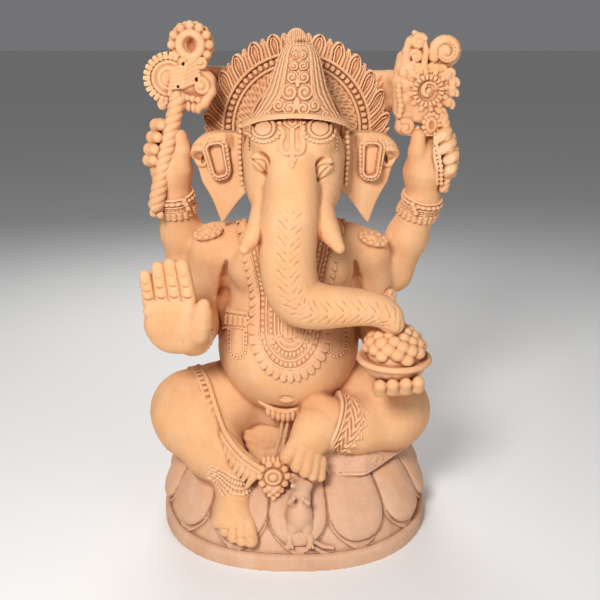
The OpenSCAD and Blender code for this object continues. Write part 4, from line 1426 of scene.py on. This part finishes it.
def make_axe():
    """Axe head of wheels, folds and scrolls on its twisted shaft."""
    clay = Clay(AX(-180, -28, 508), AX(-76, 56, 616), 1.0)
    eye = AX(-118, -2, 587)
    clay.add(disc(eye + (0, 5, 0), 21, 9, 4), 2)
    clay.add(ring(eye + (0, -5, 0), 12.5, 5.0), 1.5)
    clay.add(fan(eye + (0, -3, 0), 21.5, 12, 0, 330, knob(5.4)), 1.2)
    clay.add(fan(eye + (0, 7, 0), 21.5, 12, 15, 345, knob(5.4)), 1.2)
    hub = AX(-144, -2, 550)
    clay.add(disc(hub + (0, 4, 0), 23, 9, 3), 1.5)
    clay.add(fan(hub, 25.5, 15, 68, 262, brick((4.4, 8.5, 2.7), 1.6)), 0.3)
    clay.add(ring(hub + (0, -5, 0), 18.5, 2.0), 0.6)
    clay.add(ring(hub + (0, -5, 0), 11.5, 1.6), 0.6)
    clay.add(AX.chain((-120, 2, 568, 13), (-128, 2, 548, 15), (-131, 0, 530, 12)), 5)
    clay.add(block(AX(-124, 2, 549), (20, 12, 17), 8), 4)
    for k in range(6):
        clay.add(AX.chain((-144 + 1.5 * k, -9, 538 + 4.6 * k, 2.6), (-128 + k, -13, 541 + 4.8 * k, 3.3),
                        (-108 - k, -9, 549 + 4.4 * k, 2.6)), 0.8)
    bow = [2.5 * math.sin(0.75 * k) for k in range(6)]
    clay.add([ball(AX(-142 + 6.2 * k, -12 - b, 533 - 1.4 * k), 4.0) for k, b in enumerate(bow)], 0.6)
    clay.add([egg(AX(-139 + 5.6 * k, -10 - b, 524 - 1.6 * k), (3.4, 5, 6.4))
              for k, b in enumerate(bow)], 1.0)
    clay.add(AX.chain((-110, 4, 557, 9), (-99, 0, 548, 7.5), (-97, -4, 535, 6.5), (-104, -6, 522, 5.5),
                    (-113, -8, 516, 4.5)), 3)
    clay.add(spiral(AX(-107, -9, 541), 8.5, 1.5, -1, 1.4, 3.4), 0.8)
    clay.add(spiral(AX(-106, -8, 568), 6.0, 1.3, 1, 4.0, 2.8), 0.8)
    web(clay, AX, block(AX(-99, 46, 537), (22, 8, 25), 8), ((-84, 512), (-97, 526), (-106, 548)),
        (528, 541, 553), (-108, -120))
    clay.add(block(AX(-118, 0, 531), (16, 8, 9), 5), 3)
    clay.add(spiral(AX(-152, -6, 520), 6.0, 1.2, 1, 1.0, 2.8), 0.8)
    clay.carve(egg(eye + (0, -12, 0), (6.6, 17, 9.2)), 2.0)
    clay.carve([egg(AX(-126, -10, 566), (2.2, 9, 2.2)), egg(AX(-133, -10, 541), (1.8, 9, 1.8)),
                egg(AX(-112, -10, 549), (1.8, 9, 2.8))], 0.6)
    cast(clay, "axe_carved", CARVED, "axe")
    shaft = [AS(-133, -14, 531), AS(-143, -17, 492), AS(-152, -18.5, 458), AS(-161, -19, 420),
             AS(-165, -18, 401)]
    cord = twisted(shaft, 9.4, 29, 1.0)
    cord.add([ball(AS(-170, -12, 404, 5.6)), ball(AS(-168, -14, 394, 6.0)),
              ball(AS(-160, -19, 392, 4.6))], 1.5)
    cast(cord, "axe_shaft_twisted", CARVED, "axe_shaft")


make_axe()


# ---------------------------------------------------------------- noose, left rear hand

NO = Spot("noose", (143, 17.5, 546.8))
NR = Spot("noose_rope", (177.9, -10, 464.9))


def make_noose():
    """Noose of a flower, rolls and scrolls over its twisted rope."""
    clay = Clay(NO(84, -24, 488), NO(200, 58, 610), 1.0)
    flower = NO(156, -3, 536)
    clay.add(disc(flower + (0, 6, 0), 26, 10, 4), 2)
    clay.add(ring(flower + (0, -5, 0), 15.5, 3.4), 0.8)
    clay.carve(fan(flower + (0, -9, 0), 15.8, 20, 0, 342, brick((3.4, 3.6, 0.6), 0.4)), 0.4)
    clay.add(spiral(flower + (0, -5, 0), 8.8, 1.4, 1, 0.4, 3.3, 2), 0.6)
    clay.add(fan(flower + FRONT, 27, 9, -60, 200, knob(6.2)), 1.6)
    clay.add(fan(flower + (0, -5, 0), 21.5, 12, -20, 310, knob(3.2)), 0.8)
    clay.add(disc(NO(152, 8, 556), 33, 9, 4), 3)
    big = NO(175, -2, 580)
    clay.add(disc(big + (0, 7, 0), 18, 9, 4), 3)
    roll = spiral(big + (0, -3, 0), 15.5, 1.6, -1, 3.6, 5.8, 3)
    clay.add(roll, 1.0)
    cuts = [ball(big + (9.6 * math.cos(a), -9, 9.6 * math.sin(a)), 1.3) for a in np.arange(0, 6.2, 0.42)]
    clay.carve(cuts, 0.5)
    top = NO(141, -2, 586)
    clay.add(disc(top + (0, 6, 0), 13, 9, 4), 3)
    clay.add(spiral(top + (2, -4, 4), 7.5, 1.3, 1, 0.6, 4.0, 2), 0.8)
    clay.add(spiral(NO(140, -5, 574), 6.5, 1.2, -1, 2.6, 3.4, 2), 0.8)
    clay.add(NO.chain((150, -5, 566, 4), (152, -6, 580, 3.6), (148, -5, 594, 3.2), (138, -3, 600, 3.4)), 1)
    clay.add(NO.chain((130, -3, 566, 5), (129, -5, 580, 4.5), (132, -5, 592, 4)), 2)
    for x, z, r in ((128, 556, 6), (136, 562, 5), (146, 560, 5.5), (158, 563, 6), (170, 560, 6.5),
                    (180, 556, 5), (185, 545, 5.5), (185, 533, 5), (181, 521, 5.5), (172, 512, 5.5)):
        clay.add(spiral(NO(x, -5, z), r, 1.1, 1, 0.1 * x, 2.8, 2), 1.0)
    clay.add([ball(NO(123 + 1.6 * math.sin(0.9 * k), -8, 508 + 5.6 * k), 3.7) for k in range(7)], 0.8)
    clay.add(NO.chain((128, 4, 572, 9), (124, 5, 545, 9), (126, 5, 512, 9)), 4)
    clay.add(NO.chain((130, 2, 506, 9), (128, 0, 494, 8.5), (137, -3, 486, 6), (146, -5, 492, 4)), 3)
    clay.add(spiral(NO(132, -7, 494), 8.0, 1.3, -1, 2.0, 3.8), 0.8)
    clay.add(NO.chain((142, 4, 516, 10), (156, 2, 506, 9), (166, 0, 497, 8)), 5)
    bud = NO(161, -7, 497)
    clay.add(egg(bud, (10, 7, 13), axes((1, 0, 0.25), FRONT)[[0, 2, 1]] * [[1], [-1], [1]]), 2)
    clay.add([ball(bud + (9.5 * math.cos(a), -4, 13 * math.sin(a)), 2.7)
              for a in np.arange(0.4, 6.3, 0.49)], 0.6)
    clay.carve(egg(bud + (0, -9, 0), (4.2, 6, 7)), 1.0)
    web(clay, NO, block(NO(108, 46, 532), (21, 8, 25), 8), ((92, 506), (104, 520), (113, 542)),
        (520, 533, 546), (117, 130))
    clay.add(block(NO(145, 3, 511), (15, 8, 13), 6), 4)
    clay.carve(chain([np.append(flower + (6.2 * math.cos(a), -8, 6.2 * math.sin(a)), 2.4)
                      for a in np.arange(-1.2, 1.7, 0.4)]), 0.8)
    cast(clay, "noose_carved", CARVED, "noose")
    line = [NR(174, -8, 508), NR(180, -10, 486), NR(183, -11, 464), NR(182, -10, 442), NR(179, -8, 420)]
    cord = twisted(line, 6.4, 22, 1.0)
    for x, z, long in ((173, 486, 14), (179, 473, 14), (185, 460, 12), (185, 447, 9.5)):
        cord.add(egg(NR(x, -16, z), (long, 7.5, 6.6), axes((1, 0.25, 0.62), FRONT)), 1.2)
    edge = [NR(163, -19, 488), NR(168, -22, 470), NR(173, -21, 450), NR(175, -17, 430)]
    cord.add([ball(p, 2.8) for p in even_path(edge, 5.4)], 0.4)
    cord.add(chain([np.append(p + (-5, 1.5, -1), 2.2) for p in edge]), 0.8)
    cast(cord, "noose_rope_twisted", CARVED, "noose_rope")


make_noose()


# ---------------------------------------------------------------- bands round arms and legs

def band(c, axis, reach, voxel, height, out=FRONT):
    """Relief raised on the skin round a limb: height(s, t) with s round it and t along it."""
    c = c[:3]
    clay = Clay(c - reach, c + reach, voxel, 1.0)
    x, y, z = clay.lines()
    rows = axes(axis, out)
    t, v, w = local(c, rows, x, y, z)
    across = np.sqrt(v ** 2 + w ** 2)
    s = np.arctan2(v, w) * 24.0
    h = height(s, t)
    whole, _, _ = clay.body_fields()
    clay.field = np.maximum((whole - h) * 0.85, -(whole + ROOT)).astype(np.float32)
    return clay.keep((across - reach * 0.8) * 0.8)


def rich_cuff(s, t):
    """Ridge, square beads, ridge, and a fluted fringe below."""
    t = 1.4 * t
    h = np.where(np.abs(t) < 19, 1.2, NONE)
    h = ridges(h, t, ((17.5, 1.8, 3.4), (4.6, 1.7, 3.6), (-3.2, 1.5, 3.0)))
    h = np.maximum(h, bead_row(s, t - 11.0, 4.1, 6.8, 4.6))
    h = np.maximum(h, bead_row(s, t - 0.6, 2.2, 4.4, 3.0))
    fringe = (t < -5) & (t > -18.5 + 2.2 * (wave(s, 6.8) / 3.4) ** 2)
    h = np.where(fringe, 2.2 + 2.0 * np.abs(np.cos(np.pi * s / 6.8)), h)
    return np.where(t < -18.6, NONE, h)


def beaded_cuff(s, t):
    """One row of beads between two ridges."""
    h = np.maximum(np.where(np.abs(t) < 9.5, 1.2, NONE), bead_row(s, t, 3.2, 5.4, 4.2))
    return ridges(h, t, ((7.2, 1.8, 3.4), (-7.2, 1.8, 3.4)))


def triple_string(s, t):
    """Three strings of beads, each with a fine ridge beside it."""
    h = np.full(np.broadcast(s, t).shape, NONE)
    for k in (-7.5, 0, 7.5):
        h = np.maximum(h, bead_row(s + 0.3 * k, t - k, 2.2, 4.2, 2.8))
        h = np.maximum(h, bump(t - k - 3.0, 0.9, 1.5))
    return h


def make_bands():
    """Cuffs, bangles and strings round arms and legs, and the armlets on the shoulders."""
    for node, home, middle, axis, knot, size in (
            ("right_rear_bracelet", (-145, 8, 398), (-145.5, 9, 404), (-0.05, -0.30, 1),
             (-131, -15, 409), 3.2),
            ("left_rear_bracelet", (155, 10, 396), (155, 11, 399), (0.18, -0.30, 1),
             (142, -16, 404), 3.6)):
        B = Spot(node, home)
        clay = band(B(*middle), axis, 44, 1.0, rich_cuff)
        clay.add([ball(B(knot[0] + 2 * k, knot[1], knot[2] - 5 * k), size) for k in range(3)], 0.8)
        cast(clay, node + "_carved", CARVED, node)
    for node, home, middle, axis, out, reach, voxel, pattern in (
            ("right_front_bracelet", (-121, -80, 260), (-118, -82, 261), (0, -1, 0.1), (1, 0, 0.5),
             42, 1.0, beaded_cuff),
            ("right_anklet", (-73, -98.9, 99.7), (-72, -106, 93), (0.34, -0.30, 1), FRONT,
             42, FINE, triple_string),
            ("left_thigh_cuff", (59, -94, 149.7), (58, -84, 147), (-0.93, -0.1, 0.40), FRONT,
             48, 1.0, thigh_cuff)):
        B = Spot(node, home)
        cast(band(B(*middle), axis, reach, voxel, pattern, out), node + "_carved", CARVED, node)
    for side, node, home in ((-1, "right_armlet", (-103.5, -16.5, 371.7)),
                             (1, "left_armlet", (95.5, -16.5, 365))):
        B = Spot(node, home)
        c = drape([B(*home)], (0, -0.5, 0.86), 40)[0]
        clay = Clay(c - 26, c + 26, FINE)
        rows = axes((1, 0, -0.25 * side), (0, -0.5, 0.86))
        clay.add(egg(c, (18, 10, 5.5), rows), 1)
        clay.add([ball(c + rows[0] * 15.5 * math.cos(a) + rows[1] * 8.5 * math.sin(a) + rows[2] * 2.4, 3.2)
                  for a in np.arange(0, 6.28, 6.283 / 11)], 0.6)
        clay.add(egg(c + rows[2] * 4, (6.5, 4.5, 4), rows), 0.8)
        cast(clay, node + "_carved", CARVED, node)


def thigh_cuff(s, t):
    """Cloth cuff with rolled edges, folded between them."""
    h = ridges(np.where(np.abs(t) < 17, 1.6, NONE), t, ((15, 2.4, 4.6), (10.2, 1.5, 3.2)))
    folds = 2.0 + 2.0 * np.cos(2 * np.pi * (s + 4 * np.sin(t * 0.35)) / 8.5) * np.cos(2 * np.pi * t / 13)
    ragged = t > -16 + 3.4 * np.cos(2 * np.pi * s / 11)
    h = np.where((t < 8.6) & ragged, np.maximum(folds, 0.8), h)
    return np.where((t < 8.6) & ~ragged, NONE, h)


make_bands()


# ---------------------------------------------------------------- sash and rosette

SH = Spot("sash", (-72.2, -107.5, 129.5))
RO = Spot("rosette", (-24, -128.6, 98.7))


def make_sash():
    """Pleated sash that lies on the right thigh and hangs free at its end, and its rosette."""
    over = drape([SH(-129, -5, 199), SH(-121, -25, 203), SH(-112, -45, 197), SH(-103, -62, 184),
                  SH(-96, -75, 168), SH(-88, -88, 155)], (0, -0.5, 0.86), 8)
    free = np.array([SH(-79, -103, 141), SH(-62, -118, 126), SH(-45, -128, 117), SH(-36, -131, 113)])
    top = smooth_path(np.concatenate([over + (0, -1, 1), free]), 4)
    clay = Clay(SH(-150, -150, 78), SH(-22, -10, 236), 1.0)
    for shift, r in ((0.0, 3.0), (6.0, 2.6)):
        clay.add(chain([np.append(p + (-0.7 * shift, -0.4, -0.7 * shift), r) for p in top]), 0.8)
    pleats = even_path(top, 7.6)[:-1]
    hanging = []
    for i, p in enumerate(pleats):
        loose = np.clip((i - 12) / 4, 0, 1)
        long = 8 + 13 * loose + 2.5 * loose * math.sin(1.9 * i)
        way = unit((-0.80 + 0.36 * loose, -0.10, -0.62 - 0.3 * loose))
        hanging.extend([*(p + way * (3 + 3 * loose + long * k)), loose] for k in (0, 0.5, 1))
    hanging = np.array(hanging)
    laid = drape(hanging, (0, -0.6, 0.8), 8)
    share = hanging[:, 3:]
    places = laid[:, :3] * (1 - share) + (hanging[:, :3] + (0, 2.0, 0)) * share
    for q, k in zip(places.reshape(-1, 3, 3), share[::3]):
        sizes = np.array((2.3, 2.6, 2.1)) + k * (1.6, 1.9, 0.8)
        bent = q + ((0, 0, 0), (1.2, -0.8, 0), (0, 0, 0))
        clay.add(chain([np.append(p, r) for p, r in zip(bent, sizes)]), 1.0)
    border = places[2::3][share[2::3, 0] < 0.3]
    clay.add(chain([np.append(p, 2.4) for p in border]), 0.8)
    clay.add(chain([np.append(p + (-5, 8, -9), 8) for p in top[24::3]]), 4)
    clay.add(chain([np.append(p + (0, 6, -2), 5) for p in top[24::3]]), 3)
    cast(clay, "sash_pleated", CARVED, "sash")
    c = RO(-24, -130, 104)
    bloom = Clay(c - (28, 16, 40), c + (28, 22, 28), FINE)
    bloom.add(disc(c + (0, 8, 0), 17, 10, 4), 1.5)
    bloom.add(fan(c + FRONT, 16.5, 10, 0, 324, knob(4.6)), 1.0)
    bloom.add(ring(c + (0, -4, 0), 8.2, 2.5), 0.8)
    bloom.add(egg(c + (0, -4, 0), (5.6, 4.4, 5.6)), 0.6)
    tip = ((-9, -19, 4.0), (9, -19, 4.0), (0, -20, 4.6), (-4.5, -25, 3.6), (4.5, -25, 3.6), (0, -30, 3.6))
    bloom.add([ball(c + (dx, 0, dz), r) for dx, dz, r in tip], 1.4)
    bloom.add(egg(c + (0, 5, -17), (11, 8, 11)), 2)
    bloom.add([egg(c + (-11 + 5.5 * k, 2, 19 + 1.5 * math.sin(k)), (3.2, 5, 5)) for k in range(5)], 0.8)
    cast(bloom, "rosette_carved", CARVED, "rosette")


make_sash()


def make_trims():
    """Belt fringe under the belly and the clasp above the left elbow."""
    fringe = Clay(T(-44, -104, 146), T(26, -60, 178), FINE)
    for k in range(8):
        u = (k - 3.5) / 3.5
        fringe.add(egg(T(-10 + 21 * u, -88 + 5 * u * u, 159 + 5 * u * u), (3.6, 5, 6.6)), 0.8)
    fringe.add(chain([np.append(T(-10 + 24 * u, -86 + 6 * u * u, 166 + 5 * u * u), 3.0)
                      for u in np.linspace(-1.3, 1.3, 9)]), 0.8)
    cast(fringe, "belt_fringe", CARVED)
    elbow = Clay(LA(108, -30, 270), LA(138, 12, 304), FINE)
    elbow.add(egg(LA(119, -6, 288), (9, 8, 8)), 1)
    elbow.add([ball(LA(121 + 3 * math.cos(k), -11 - 0.6 * k, 280 + 3.4 * k), 3.6) for k in range(5)], 0.8)
    cast(elbow, "left_elbow_clasp", CARVED)


make_trims()
body_parts()


# ---------------------------------------------------------------- painted shade and dirt in the hollows of the whole figure

PROBE = 3.0     # voxel of the occupancy block, in mm


def paint_hollow_shade_and_dirt():
    """Stores on every vertex how much more stone surrounds it than on a flat face, which the stone's
    colour uses as painted shade, partly dirt, in the hollows.
    """
    low = np.min([clay.low for _, clay in PIECES], 0) - 12
    size = np.max([clay.low + np.array(clay.field.shape) * clay.voxel for _, clay in PIECES], 0) + 12 - low
    full = np.zeros(np.ceil(size / PROBE).astype(int) + 1, np.float32)
    for _, clay in PIECES:
        step = 1 if clay.voxel > 1.4 else 2
        inside = np.argwhere(clay.field[::step, ::step, ::step] < 0)
        index = np.round((inside * step * clay.voxel + clay.low - low) / PROBE).astype(int)
        full[tuple(index.T)] = 1
    near, wide = box_blur(full, 1), box_blur(full, 3)
    for piece, _ in PIECES:
        mesh = piece.data
        points = np.zeros(len(mesh.vertices) * 3, np.float32)
        mesh.vertices.foreach_get("co", points)
        normals = np.zeros(len(points), np.float32)
        mesh.vertices.foreach_get("normal", normals)
        points = points.reshape(-1, 3) / MM + normals.reshape(-1, 3) * 2.0
        where = (points - low) / PROBE
        # Painted shade: the more stone near the point, the darker its colour.
        hollow_shade_and_dirt = 1.6 * (sample(near, where) - 0.42) + 1.5 * (sample(wide, where) - 0.52)
        attribute = mesh.attributes.new("hollow_shade_and_dirt", "FLOAT", "POINT")
        attribute.data.foreach_set("value", np.clip(hollow_shade_and_dirt, 0, 1).astype(np.float32))


paint_hollow_shade_and_dirt()
